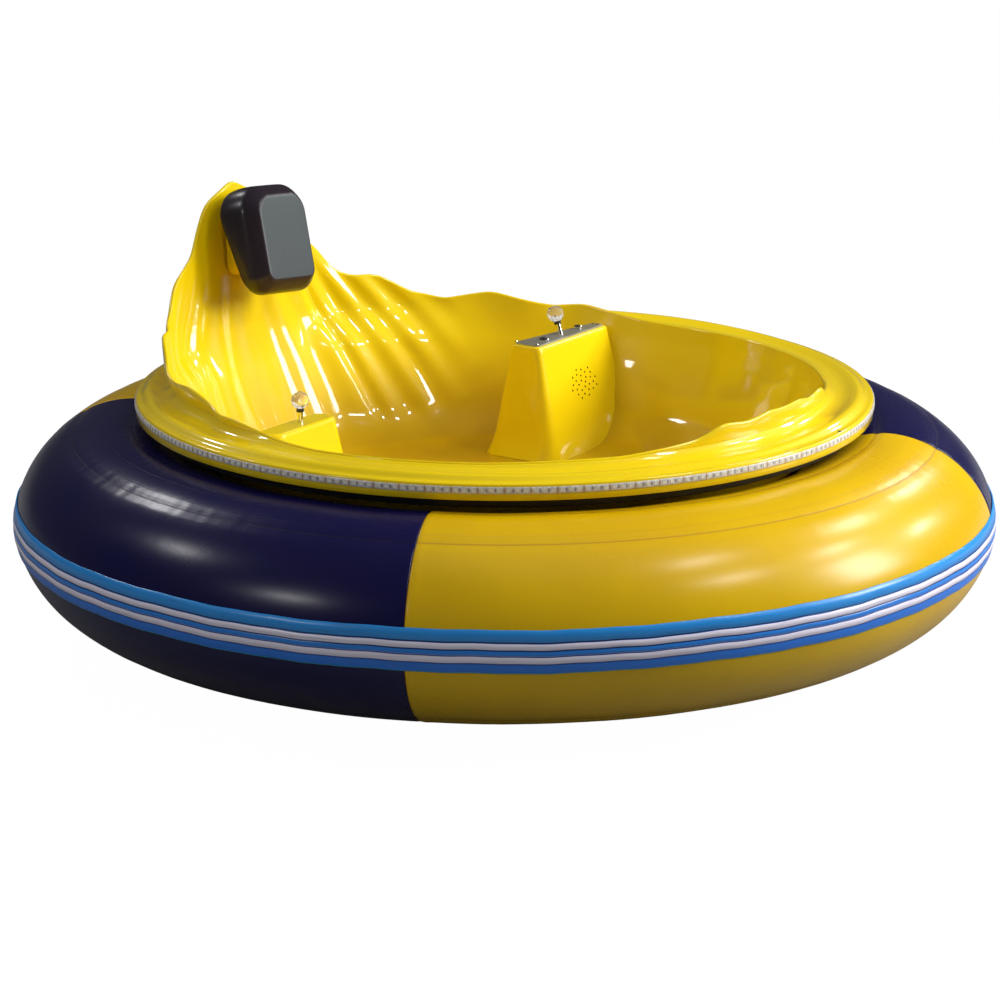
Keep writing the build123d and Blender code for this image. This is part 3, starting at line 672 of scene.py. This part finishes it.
# Casters: a pressed and zinc-plated plate and fork, with a grey nylon hub and a solid black
# tyre. One swivels under the nose and one under the back.
caster_rubber = moulded("caster_rubber", (0.03, 0.03, 0.032, 1), 0.55, 0.25)
caster_nylon = moulded("caster_nylon", (0.16, 0.16, 0.165, 1), 0.4)
for end in ("front", "rear"):
    dress(zinc_steel, end + "_caster_plate", end + "_caster_fork")
    dress(caster_rubber, end + "_caster_tyre")
    dress(caster_nylon, end + "_caster_hub")


# Tub: one laminated glass-fibre bowl with a thin rolled rim that waves up into the tall back.
# The back is fluted, and its fluting runs out over the seat. Yellow gel coat under a clear coat.
def gel_surface(wire):
    cloud = wire.grain(2.5, 4.0)
    hair = wire.grain(60.0, 3.0, (1, 1, 0.25)).rise(0.6, 0.75)
    grime = wire.stored("grime") * wire.grain(30.0, 5.0).rise(0.3, 0.8)
    clean = cloud.blend((0.87, 0.635, 0.002, 1), (0.81, 0.575, 0.001, 1))
    # Low in the bowl the yellow is darkened towards orange: painted shade of the lower cockpit.
    clean = wire.stored("deep").blend(clean, (0.56, 0.32, 0.001, 1))
    return {
        "Base Color": (grime * 0.5).blend(clean, (0.22, 0.12, 0.01, 1)),
        "Roughness": 0.3 + hair * 0.08 + grime * 0.3,
        "Height": wire.grain(28.0, 2.0) + wire.grain(9.0, 2.0) * 2.0,
    }


gel_constants = {"Specular IOR Level": 0.15, "Coat Weight": 1.0, "Coat Roughness": 0.05}
gel_yellow = paint("gel_yellow", gel_constants, gel_surface, 0.06, 0.0012)
rim_heights = np.array([
    # degrees round from the nose, height of the rim
    (0, 0.556), (5, 0.559), (10, 0.549), (16, 0.556), (21, 0.532), (27, 0.525), (35, 0.517),
    (45, 0.5165), (60, 0.513), (75, 0.512), (90, 0.510), (97, 0.514), (104, 0.525), (109, 0.535),
    (115, 0.530), (120, 0.540), (127, 0.557), (136, 0.542), (142, 0.560), (148, 0.600),
    (154, 0.605), (157, 0.628), (159, 0.663), (161, 0.686), (167, 0.723), (170, 0.769),
    (173, 0.816), (180, 0.855),
])
wall_rows = np.array([
    # height, half width, half length
    (0.170, 0.330, 0.330), (0.245, 0.500, 0.500), (0.316, 0.5755, 0.5755), (0.420, 0.622, 0.622),
    (0.520, 0.656, 0.662), (0.660, 0.676, 0.684), (0.880, 0.700, 0.716),
])
wall_flare = np.array([
    # degrees round from the nose, how far the wall's upper part leans out beside the back
    (128, 0.0), (132, 0.008), (136, 0.019), (139, 0.027), (143, 0.030), (147, 0.022),
    (151, 0.022), (156, 0.031), (160, 0.030), (163, 0.019), (166, 0.007), (170, 0.0),
])
shell_wall, flute_depth, fold_depth = 0.008, 0.008, 0.0030
floor_top, seat_top, seat_front, seat_fillet, seat_dish = 0.178, 0.262, -0.035, 0.045, 0.010


def ease(share):
    """Goes from 0 to 1 with a soft start and a soft end, and stays there."""
    share = np.clip(share, 0, 1)
    return share * share * (3 - 2 * share)


def rim_height(turn):
    """Height of the rim at an angle from the nose, rounded off between the listed places."""
    steps = np.linspace(-2.2, 2.2, 9)
    weights = 1 + np.cos(pi * steps / 2.6)
    near = [np.interp(np.abs((turn + step + 180) % 360 - 180), *rim_heights.T) for step in steps]
    return np.tensordot(weights / weights.sum(), np.array(near), 1)


def wall_radius(turn, height):
    """Inside of the bowl's wall, with its fluting, at an angle from the nose and a height."""
    # The listed rows are rounded off over a spread of heights, which is wider above the deck.
    steps, spread = np.linspace(-1, 1, 9), 0.018 + 0.042 * np.clip((height - 0.43) / 0.06, 0, 1)
    half_x, half_y = (
        np.mean([np.interp(height + spread * step, wall_rows[:, 0], half) for step in steps], 0)
        for half in (wall_rows[:, 1], wall_rows[:, 2])
    )
    sine, cosine = np.sin(np.radians(turn)), np.cos(np.radians(turn))
    plain = 1 / np.sqrt((sine / half_x) ** 2 + (cosine / half_y) ** 2) - shell_wall
    off = np.abs((turn + 180) % 360 - 180)
    # Flutes start beside the rider, 18 to the round, and are deepest at the rim.
    rise = np.clip((height - rim_height(turn) + 0.15) / 0.15, 0, 1) ** 1.5
    flutes = flute_depth * ease((off - 92) / 30) * rise * np.cos(np.radians(18 * (off - 110)))
    # Where the wall leans out, it does so above the deck, and its flutes are pulled flat.
    flare = np.mean([np.interp(off + step, *wall_flare.T) for step in range(-3, 4)], 0)
    flutes = flutes * (1 - 24 * flare) + flare * ease((height - 0.46) / 0.08)
    # Folds fan out of a point above the back, and fade out beside it, at its foot and its top.
    from_back = 180 - off
    fan = from_back / np.maximum(1.0 - height, 0.2)
    fold = np.interp(fan, [0, 19, 36, 45, 57, 69, 83, 99], range(8))
    back = np.clip((52 - from_back) / 16, 0, 1) * np.clip((height - 0.27) / 0.07, 0, 1)
    back = ease(back * np.clip((0.74 - height) / 0.18, 0, 1))
    return plain + flutes - fold_depth * back * np.cos(2 * pi * fold + 0.5 * np.sin(9 * height))


def larger_of(first, second, reach):
    """The larger of two heights, with a fillet of that reach where they meet."""
    share = np.clip(reach - np.abs(first - second), 0, reach) / reach
    return np.maximum(first, second) + share * share * reach / 4


tub_columns, wall_row_count, floor_row_count, rim_round = 540, 66, 31, 0.004
turn = np.linspace(0, 360, tub_columns, endpoint=False)
rim = rim_height(turn)
wall_steps = np.linspace(0, 1, wall_row_count)[:, None] ** 1.06
level = (rim - rim_round)[None, :] * (1 - wall_steps) + floor_top * wall_steps
reach = wall_radius(turn[None, :] + 0 * level, level)
shrink = np.linspace(1, 0, floor_row_count)[1:-1, None]
reach = np.concatenate([reach, reach[-1] * shrink])
level = np.concatenate([level, floor_top + 0 * shrink * turn[None, :]])
x, y = reach * np.sin(np.radians(turn)), -reach * np.cos(np.radians(turn))
step = ease((y - seat_front) / 0.045 + 0.5)
flat = floor_top + (seat_top - floor_top) * step
dish = -seat_dish * np.exp(-((x / 0.2) ** 2 + ((y - 0.17) / 0.15) ** 2))
height = larger_of(level, flat + dish * step, seat_fillet)
inside = np.stack([x, y, height], -1)
across = np.roll(inside, -1, 1) - np.roll(inside, 1, 1)
outward = np.cross(across, np.gradient(inside, axis=0))
outward /= np.linalg.norm(outward, axis=-1, keepdims=True)
outward[0, :, 2] = 0
outward[0] /= np.linalg.norm(outward[0], axis=-1, keepdims=True)
if outward[0, 0, 1] > 0:
    outward = -outward
outside = inside + shell_wall * outward
rim_middle = (inside[0] + outside[0]) / 2
rim_arc = [
    rim_middle + rim_round * (cos(t) * outward[0] + sin(t) * np.array([0, 0, 1.0]))
    for t in np.radians([150, 120, 90, 60, 30])
]
rows = [*inside[::-1], *rim_arc, *outside[::2]]
tub_points = np.concatenate(rows)
grime = np.clip((0.215 - tub_points[:, 2]) / 0.05, 0, 1)
# Painted shade: how far the yellow is darkened low in the bowl.
deep = np.clip((0.46 - tub_points[:, 2]) / 0.20, 0, 1)
tub_faces = grid_faces(len(rows), tub_columns, False, True)
poles = [(0, 0, surface[-1, :, 2].mean()) for surface in (inside, outside)]
pole, last = len(tub_points), (len(rows) - 1) * tub_columns
ring = [(k, (k + 1) % tub_columns) for k in range(tub_columns)]
tub_faces += [(pole, there, here) for here, there in ring]
tub_faces += [(pole + 1, last + here, last + there) for here, there in ring]
tub_shell = mesh_piece("tub_shell", np.concatenate([tub_points, poles]), tub_faces, gel_yellow,
                       grime=np.append(grime, [1, 1]), deep=np.append(deep, [1, 1]))
turn_faces_out(tub_shell)
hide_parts("tub")
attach(tub_shell, "root")

# Deck: the glass-fibre ring between the tub and the tube. It rolls up to the tub's rim, swells
# in the middle, and ends in a lip with a square edge that the light strip is stuck to.
deck_profile = [
    # share of the way from the wall to the lip, height
    (0, 0.520), (0.025, 0.5162), (0.05, 0.5125), (0.08, 0.509), (0.13, 0.5058), (0.2, 0.5035),
    (0.35, 0.502), (0.5, 0.505), (0.62, 0.509), (0.68, 0.5088), (0.74, 0.507), (0.78, 0.5045),
    (0.82, 0.501), (0.85, 0.4994), (0.88, 0.4985), (0.92, 0.4981), (0.95, 0.498),
    (0.975, 0.4975), (0.99, 0.4963), (1.0, 0.494),
]
lip_rows = [
    # distance from the axis, height
    (0.749, 0.493), (0.749, 0.479), (0.749, 0.4665), (0.7478, 0.4655), (0.7375, 0.4655),
    (0.7365, 0.4665), (0.7365, 0.482), (0.735, 0.4855),
]
lip_out, lip_in = 0.749, 0.735
deck_columns, deck_top, deck_sheet = 720, 0.520, 0.010
joint_height, wall_gap, rim_gap = 0.512, 0.0004, 0.003


def swept_ring(name, rows, angles, finish, **stored):
    """A ring round the car: rows of (distance from the axis, height) swept from the nose."""
    points = np.concatenate([
        np.stack([r * np.sin(angles), -r * np.cos(angles), z + 0 * angles], -1) for r, z in rows
    ])
    faces = grid_faces(len(rows), len(angles), True, True)
    ring = mesh_piece(name, points, faces, finish, **stored)
    turn_faces_out(ring)
    return ring


turn = np.linspace(0, 360, deck_columns, endpoint=False)
wall = wall_radius(turn, joint_height + 0 * turn) + shell_wall + wall_gap
climb = np.minimum(deck_top, rim_height(turn) - rim_gap) - deck_top
swell = 0.0014 * np.sin(np.radians(4 * turn + 20)) + 0.0007 * np.sin(np.radians(9 * turn))
deck_rows = []
for share, height in deck_profile:
    near = max(0.0, 1 - share / 0.2) ** 2
    height = height + near * climb + swell * sin(pi * share) ** 2
    deck_rows.append((wall + share * (lip_out - wall), height))
deck_rows += lip_rows
for share, height in deck_profile[-4::-3]:
    near = max(0.0, 1 - share / 0.2) ** 2
    deck_rows.append((wall + share * (lip_in - wall), height - deck_sheet + near * climb))
under_deck = [0.25 if k > len(deck_profile) else 0.0 for k in range(len(deck_rows))]
deck_grime = np.repeat(under_deck, deck_columns)
deck_ring = swept_ring("deck_ring", deck_rows, np.radians(turn), gel_yellow, grime=deck_grime)
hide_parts("deck_moulding")
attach(deck_ring, "root")

# Drain plug: a small dark rubber plug in the deck's outer edge, a little to the rider's left
# of the nose.
plug = turned_item(
    [(0.0042, -0.0006), (0.0042, 0.0003), (0.0036, 0.0008), (0.0016, 0.0009), (0.0012, 0.0004)], 24)
plug_turn, plug_out, plug_height = radians(6.6), 0.7425, 0.4982
plug_place = (plug_out * sin(plug_turn), -plug_out * cos(plug_turn), plug_height)
place_on("deck_plug", plug, [(plug_place, *upright)], valve_black, "root")

# Light strip: a flat strip of small lamps in clear silicone, stuck round the deck's lip. The
# strip's printed pads and its soldered joints are in its finish, and the lamps stand on it.
lamp_count, strip_radius, strip_face, lamp_height = 282, 0.7505, 0.7508, 0.486
strip_pitch = 2 * pi * strip_radius / lamp_count
lamps_per_joint = 3


def strip_surface(wire):
    place = wire.stored("around") / strip_pitch
    cell = place.maths("FRACT")
    pad = cell.line(0.5, 0.16) * wire.stored("across").line(0.5, 0.34)
    joint = (place / lamps_per_joint).maths("FRACT").line(0.5, 0.05)
    cloud = wire.grain(140.0, 3.0)
    board = cloud.rise(0.35, 0.7).blend((0.56, 0.53, 0.48, 1), (0.80, 0.79, 0.77, 1))
    marked = (pad * 0.7).blend(board, (0.12, 0.11, 0.12, 1))
    return {
        "Base Color": (joint * 0.7).blend(marked, (0.45, 0.26, 0.10, 1)),
        "Roughness": 0.35 + cloud * 0.2,
        "Height": cloud,
    }


strip_constants = {"Coat Weight": 0.8, "Coat Roughness": 0.15}
strip_board = paint("strip_board", strip_constants, strip_surface, 0.2, 0.0006)
strip_columns = 3 * lamp_count
strip_section = [
    # distance from the axis, height, share of the way across the face
    (0.7492, 0.4925, 0.0), (0.7502, 0.4925, 0.0), (0.7508, 0.4920, 0.04), (0.7508, 0.4890, 0.3),
    (0.7508, 0.4830, 0.7), (0.7508, 0.4800, 0.96), (0.7502, 0.4795, 1.0), (0.7492, 0.4795, 1.0),
]
angles = np.linspace(0, 2 * pi, strip_columns, endpoint=False)
light_strip = swept_ring(
    "light_strip_board", [row[:2] for row in strip_section], angles, strip_board,
    around=np.tile(angles * strip_radius, len(strip_section)),
    across=np.repeat([row[2] for row in strip_section], strip_columns),
)
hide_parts("light_strip")
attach(light_strip, "root")
lamp_white = clouded("lamp_white", {"Coat Weight": 0.5}, (300.0, 2.0),
                     (0.78, 0.76, 0.70, 1), (0.86, 0.82, 0.66, 1), 0.2, 0.2)
chip = square_item([
    (height, half, half)
    for height, half in ((-0.0002, 0.0026), (0.0008, 0.0025), (0.0008, 0.0018), (0.0005, 0.0015))
])
chip_spots = []
for k in range(lamp_count):
    t = 2 * pi * k / lamp_count
    place = (strip_face * sin(t), -strip_face * cos(t), lamp_height)
    chip_spots.append((place, (sin(t), -cos(t), 0), (0, 0, 1)))
place_on("lamp_chips", chip, chip_spots, lamp_white, "root")

# Skirt: a soft black rubber strip that closes the gap between the deck and the air tube. It
# hangs in shallow waves where the tube presses on it.
skirt_rubber = moulded("skirt_rubber", (0.008, 0.008, 0.009, 1), 0.6, 0.1)
skirt_foot, skirt_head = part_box("deck_skirt")
skirt_columns, skirt_out, skirt_height = 720, skirt_head[0] - 0.002, skirt_head[2] - skirt_foot[2]
skirt_section = [
    # how far in from its outer face, share of its height
    (0.0, 0.15), (-0.0015, 0.03), (-0.004, 0.0), (-0.018, 0.0), (-0.021, 0.03), (-0.0215, 0.5),
    (-0.021, 0.97), (-0.018, 1.0), (-0.004, 1.0), (-0.0015, 0.97), (0.0, 0.85), (0.0, 0.5),
]
angles = np.linspace(0, 2 * pi, skirt_columns, endpoint=False)
wave = 0.0012 * np.sin(23 * angles) * np.sin(7 * angles) + 0.0008 * np.sin(61 * angles)
skirt_rows = [
    (skirt_out + inset + wave * (1 - share * 0.6), skirt_foot[2] + share * skirt_height)
    for inset, share in skirt_section
]
skirt = swept_ring("deck_skirt_rubber", skirt_rows, angles, skirt_rubber)
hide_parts("deck_skirt")
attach(skirt, "root")

# Consoles: glass-fibre pillars bonded to the seat and the wall. The left one has a speaker
# behind an oval of small drilled holes. The headrest's block is of the same make.
dress(gel_yellow, "right_console", "headrest_base")
# The drilled holes' walls are coloured nearly black: painted shade in the holes, which also stands
# for the dark speaker behind them.
hole_painted_shade = moulded("hole_painted_shade", (0.02, 0.012, 0.002, 1), 0.8)
seat_level, console_top = 0.2615, 0.500
console_rows = [
    # share of the height, how far the corners are drawn in at the top edge
    *((share, 0.0) for share in (0.0, 0.04, 0.09, 0.15, 0.22, 0.30, 0.39, 0.49, 0.59, 0.69, 0.79)),
    (0.88, 0.0), (0.95, 0.0), (0.984, 0.0), (0.993, 0.0007), (0.9985, 0.0022), (1.0, 0.0040),
]
corner_round_offs = (0.014, 0.009, 0.011, 0.018)


def console_outline(share, inset):
    """Four-cornered outline with rounded corners, wider at the foot and at its inner end."""
    flare = (1 - share) + 0.22 * max(0.0, 1 - share / 0.25) ** 2
    # Each edge has its place at the top, and how far it moves out towards the foot.
    front = 0.143 - 0.059 * (1 - share) + inset
    inner, outer = 0.335 - 0.030 * flare + inset, 0.600 + 0.030 * flare - inset
    back_inner = 0.218 + 0.042 * flare - inset
    back_outer = 0.182 + 0.078 * flare - inset
    corners = [(inner, front), (outer, front), (outer, back_outer), (inner, back_inner)]
    corners = [Vector(corner) for corner in corners]
    reaches = [round_off + 0.022 * flare for round_off in corner_round_offs]
    points = []
    for k, here in enumerate(corners):
        after = corners[(k + 1) % 4]
        first = here + (corners[k - 1] - here).normalized() * reaches[k]
        last = here + (after - here).normalized() * reaches[k]
        points += [first.lerp(here, t).lerp(here.lerp(last, t), t) for t in np.linspace(0, 1, 11)]
        along = after + (here - after).normalized() * reaches[(k + 1) % 4]
        points += [last.lerp(along, t) for t in np.linspace(0, 1, 14)[1:-1]]
    return points


def capped_piece(name, points, rows, *finishes, sharp=180, **stored):
    """A piece from a closed outline that is kept row after row, with a face over each end."""
    columns = len(points) // rows
    first, last = range(columns), len(points) - columns
    faces = grid_faces(rows, columns, False, True) + [first[::-1], [last + k for k in first]]
    piece = mesh_piece(name, points, faces, *finishes, **stored)
    turn_faces_out(piece, sharp)
    return piece


console_points = [
    (x, y, seat_level + share * (console_top - seat_level))
    for share, inset in console_rows for x, y in console_outline(share, inset)
]
x, y, height = np.array(console_points).T
# Its outer corners are held inside the wall, and its foot is drawn in a little more.
held = wall_radius(np.degrees(np.arctan2(x, -y)), height) + 0.002
held = (held - 0.02 * np.clip((0.285 - height) / 0.024, 0, 1)) / np.hypot(x, y)
held = np.minimum(held, 1)
console_points = np.stack([x * held, y * held, height], -1)
left_console = capped_piece(
    "left_console_shell", console_points, len(console_rows), gel_yellow, hole_painted_shade)
drill = turned_item([(0.0023, -0.007), (0.0023, 0.004)], 16)
hole_count, golden_angle, face_slope = 29, 2.39996, 0.2479
speaker_middle = Vector((0.473, 0.1189, 0.4027))
speaker_half_wide, speaker_half_high = 0.052, 0.034
out_of_face = Vector((0, -1, face_slope)).normalized()
up_face = Vector((0, face_slope, 1)).normalized()
speaker_spots = []
for k in range(hole_count):
    r = sqrt((k + 0.4) / hole_count)
    t = k * golden_angle
    place = speaker_middle + Vector((speaker_half_wide * r * cos(t), 0, 0))
    speaker_spots.append((place + speaker_half_high * r * sin(t) * up_face, out_of_face, up_face))
drills = place_on("drills", drill, speaker_spots, hole_painted_shade)
cut = left_console.modifiers.new("holes", "BOOLEAN")
cut.object = drills
cut.operation = "DIFFERENCE"
cut.solver = "EXACT"
# The holes' walls take the drills' nearly black finish, the painted shade in the holes.
cut.material_mode = "TRANSFER"
bake_modifiers(left_console)
bpy.data.objects.remove(drills)
turn_faces_out(left_console, 30)
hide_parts("left_console")
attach(left_console, "root")


# Control plate: brushed stainless sheet screwed to the left console, with the start button
# and the key switch through it.
def plate_surface(wire):
    brushed = wire.grain(60.0, 4.0, (1, 14, 14))
    cloud = wire.grain(30.0, 3.0)
    return {
        "Base Color": cloud.blend((0.30, 0.30, 0.24, 1), (0.42, 0.42, 0.36, 1)),
        "Roughness": 0.28 + brushed * 0.3,
        "Height": brushed,
    }


plate_steel = paint("plate_steel", {"Metallic": 0.7}, plate_surface, 0.15, 0.0004)
plate_foot, plate_top, plate_margin, plate_bevel = 0.4999, 0.503, 0.006, 0.0006
plate_rows = [
    (0.0, plate_foot), (0.0, plate_top - plate_bevel), (plate_bevel, plate_top), (0.004, plate_top),
]
plate_points = [
    (x, y, z) for inset, z in plate_rows for x, y in console_outline(1.0, plate_margin + inset)
]
plate = capped_piece("control_plate_sheet", plate_points, len(plate_rows), plate_steel, sharp=30)
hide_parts("control_plate")
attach(plate, "root")
button_black = moulded("button_black", (0.012, 0.012, 0.012, 1), 0.3)
dress(button_black, "start_button")


def chrome_surface(wire):
    cloud = wire.grain(80.0, 3.0)
    return {
        "Base Color": cloud.blend((0.62, 0.62, 0.62, 1), (0.78, 0.77, 0.75, 1)),
        "Roughness": 0.06 + cloud.rise(0.5, 0.9) * 0.15,
        "Height": cloud,
    }


chrome = paint("chrome", {"Metallic": 1.0}, chrome_surface, 0.05, 0.0004)
dress(chrome, "key_switch", "left_joystick_rod", "right_joystick_rod")
screw = turned_item(
    [(0.0034, -0.0002), (0.0034, 0.0004), (0.0026, 0.0013), (0.0012, 0.0016), (0.0010, 0.0008)], 20)
screw_places = [(0.352, 0.159), (0.352, 0.212), (0.583, 0.157), (0.583, 0.170)]
screw_spots = [((x, y, plate_top), *upright) for x, y in screw_places]
place_on("plate_screws", screw, screw_spots, chrome, "root")
barrel = turned_item([
    (0.0052, -0.0002), (0.0052, 0.0004), (0.0044, 0.0006), (0.0022, 0.0006), (0.0018, -0.0001),
], 24)
low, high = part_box("key_switch")
key_top = ((low[0] + high[0]) / 2, (low[1] + high[1]) / 2, high[2])
place_on("key_barrel", barrel, [(key_top, *upright)], button_black, "root")
bezel = turned_item(
    [(0.0112, -0.0002), (0.0112, 0.0016), (0.0104, 0.0024), (0.0074, 0.0024), (0.0072, 0.0010)], 32)
low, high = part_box("start_button")
button_foot = ((low[0] + high[0]) / 2, (low[1] + high[1]) / 2, low[2])
place_on("button_ring", bezel, [(button_foot, *upright)], chrome, "root")

# Joysticks: chrome rods in moulded collars, each with a ball of clear acrylic cut in facets.
# The left one leans towards the seat.
collar_black = moulded("collar_black", (0.012, 0.012, 0.013, 1), 0.4)
dress(collar_black, "left_joystick_collar", "right_joystick_collar")
acrylic = clouded("acrylic", {"Transmission Weight": 0.9, "IOR": 1.49}, (40.0, 2.0),
                  (0.93, 0.90, 0.86, 1), (0.98, 0.97, 0.96, 1), 0.02, 0.06)
stick_y, stick_length, rod_radius, ball_radius = 0.172, 0.045, 0.0055, 0.0185
for name, lean, foot in (("left", radians(18), 0.503), ("right", 0.0, 0.500)):
    rod_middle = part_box(name + "_joystick_rod")[0][0] + rod_radius
    centre = Vector((rod_middle, stick_y, foot)) + stick_length * Vector((0, sin(lean), cos(lean)))
    work = bmesh.new()
    bmesh.ops.create_icosphere(work, subdivisions=2, radius=ball_radius)
    bmesh.ops.translate(work, verts=work.verts, vec=centre)
    ball = add_object(name + "_joystick_knob", bpy.data.meshes.new(name + "_joystick_knob"))
    work.to_mesh(ball.data)
    work.free()
    ball.data.materials.append(acrylic)
    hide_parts(name + "_joystick_ball")
    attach(ball, "root")


# Headrest: a foam pad moulded with its own skin, crowned in front, with rounded bevels. It is
# screwed to a yellow block on the tall back.
def pad_surface(wire):
    front = wire.stored("front")
    cloud = wire.grain(18.0, 4.0)
    side = cloud.blend((0.012, 0.008, 0.013, 1), (0.022, 0.014, 0.022, 1))
    # The front face is painted a lighter grey-blue than the sides: a painted reflection of the
    # bright sky on it.
    wear_and_painted_sheen = cloud.blend((0.040, 0.052, 0.059, 1), (0.054, 0.067, 0.073, 1))
    return {
        "Base Color": front.rise(0.3, 0.7).blend(side, wear_and_painted_sheen),
        "Roughness": 0.28 + front * 0.3 + cloud * 0.1,
        "Height": wire.grain(350.0, 2.0) * 0.4 + cloud * 0.4,
    }


pad_constants = {"Coat Weight": 0.15, "Coat Roughness": 0.2}
pad_foam = paint("pad_foam", pad_constants, pad_surface, 0.2, 0.0008)
pad_lean, pad_roll = radians(16.0), radians(6.0)
pad_middle = Vector((0, 0.551, 0.752))
pad_right = Vector((cos(pad_roll), -sin(pad_roll) * sin(pad_lean), -sin(pad_roll) * cos(pad_lean)))
pad_out = Vector((0, -cos(pad_lean), sin(pad_lean)))
pad_up = pad_out.cross(pad_right)
pad_half_wide, pad_half_high, pad_back, corner_points = 0.098, 0.113, 0.0012, 12
pad_rows = [
    # inset, depth from the front, how far it is part of the front face
    (0.012, -0.096, 0), (0.005, -0.0945, 0), (0.001, -0.090, 0), (0.0, -0.084, 0),
    (-0.0014, -0.072, 0), (-0.002, -0.058, 0), (-0.0016, -0.044, 0), (-0.0004, -0.032, 0),
    (0.0008, -0.0275, 0), (0.0028, -0.0238, 0), (0.0065, -0.0185, 0), (0.0125, -0.0115, 0),
    (0.0185, -0.0050, 0), (0.0215, -0.0022, 0), (0.0240, -0.0008, 0.1), (0.0265, -0.0002, 0.6),
    (0.0295, 0.0, 1), (0.040, 0.0004, 1), (0.055, 0.0008, 1), (0.072, 0.0010, 1),
    (0.088, 0.0011, 1),
]
pad_corners = [
    # side, up or down, where its arc starts, its radius: the top corners are the rounder
    (1, 1, 0, 0.062), (-1, 1, 90, 0.062), (-1, -1, 180, 0.040), (1, -1, 270, 0.040),
]


def pad_outline(inset):
    """Rounded outline of the pad, drawn in by the inset."""
    half_wide, half_high = pad_half_wide - inset, pad_half_high - inset
    points = []
    for across, up, first, radius in pad_corners:
        radius = max(radius - inset * 0.85, 0.004)
        for angle in np.radians(np.linspace(first, first + 90, corner_points)):
            points.append((across * (half_wide - radius) + radius * cos(angle),
                           up * (half_high - radius) + radius * sin(angle)))
    return points


# The bevel round the front is shallower low down, where the pad thins towards its foot.
bevel_depth, foot_start, foot_reach, foot_thinning = 0.03, 0.01, 0.12, 0.6
pad_points, pad_front = [], []
for inset, depth, front in pad_rows:
    for across, up in pad_outline(inset):
        thin = 1 - foot_thinning * ease((foot_start - up) / foot_reach)
        back = depth if depth > -bevel_depth else (depth + bevel_depth) * thin - bevel_depth
        place = pad_middle + across * pad_right + up * pad_up
        pad_points.append(place + pad_out * (back - pad_back))
        pad_front.append(front)
headrest = capped_piece("headrest_moulded", pad_points, len(pad_rows), pad_foam, front=pad_front)
soften = headrest.modifiers.new("soften", "SUBSURF")
soften.levels = soften.render_levels = 1
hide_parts("headrest_pad")
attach(headrest, "root")
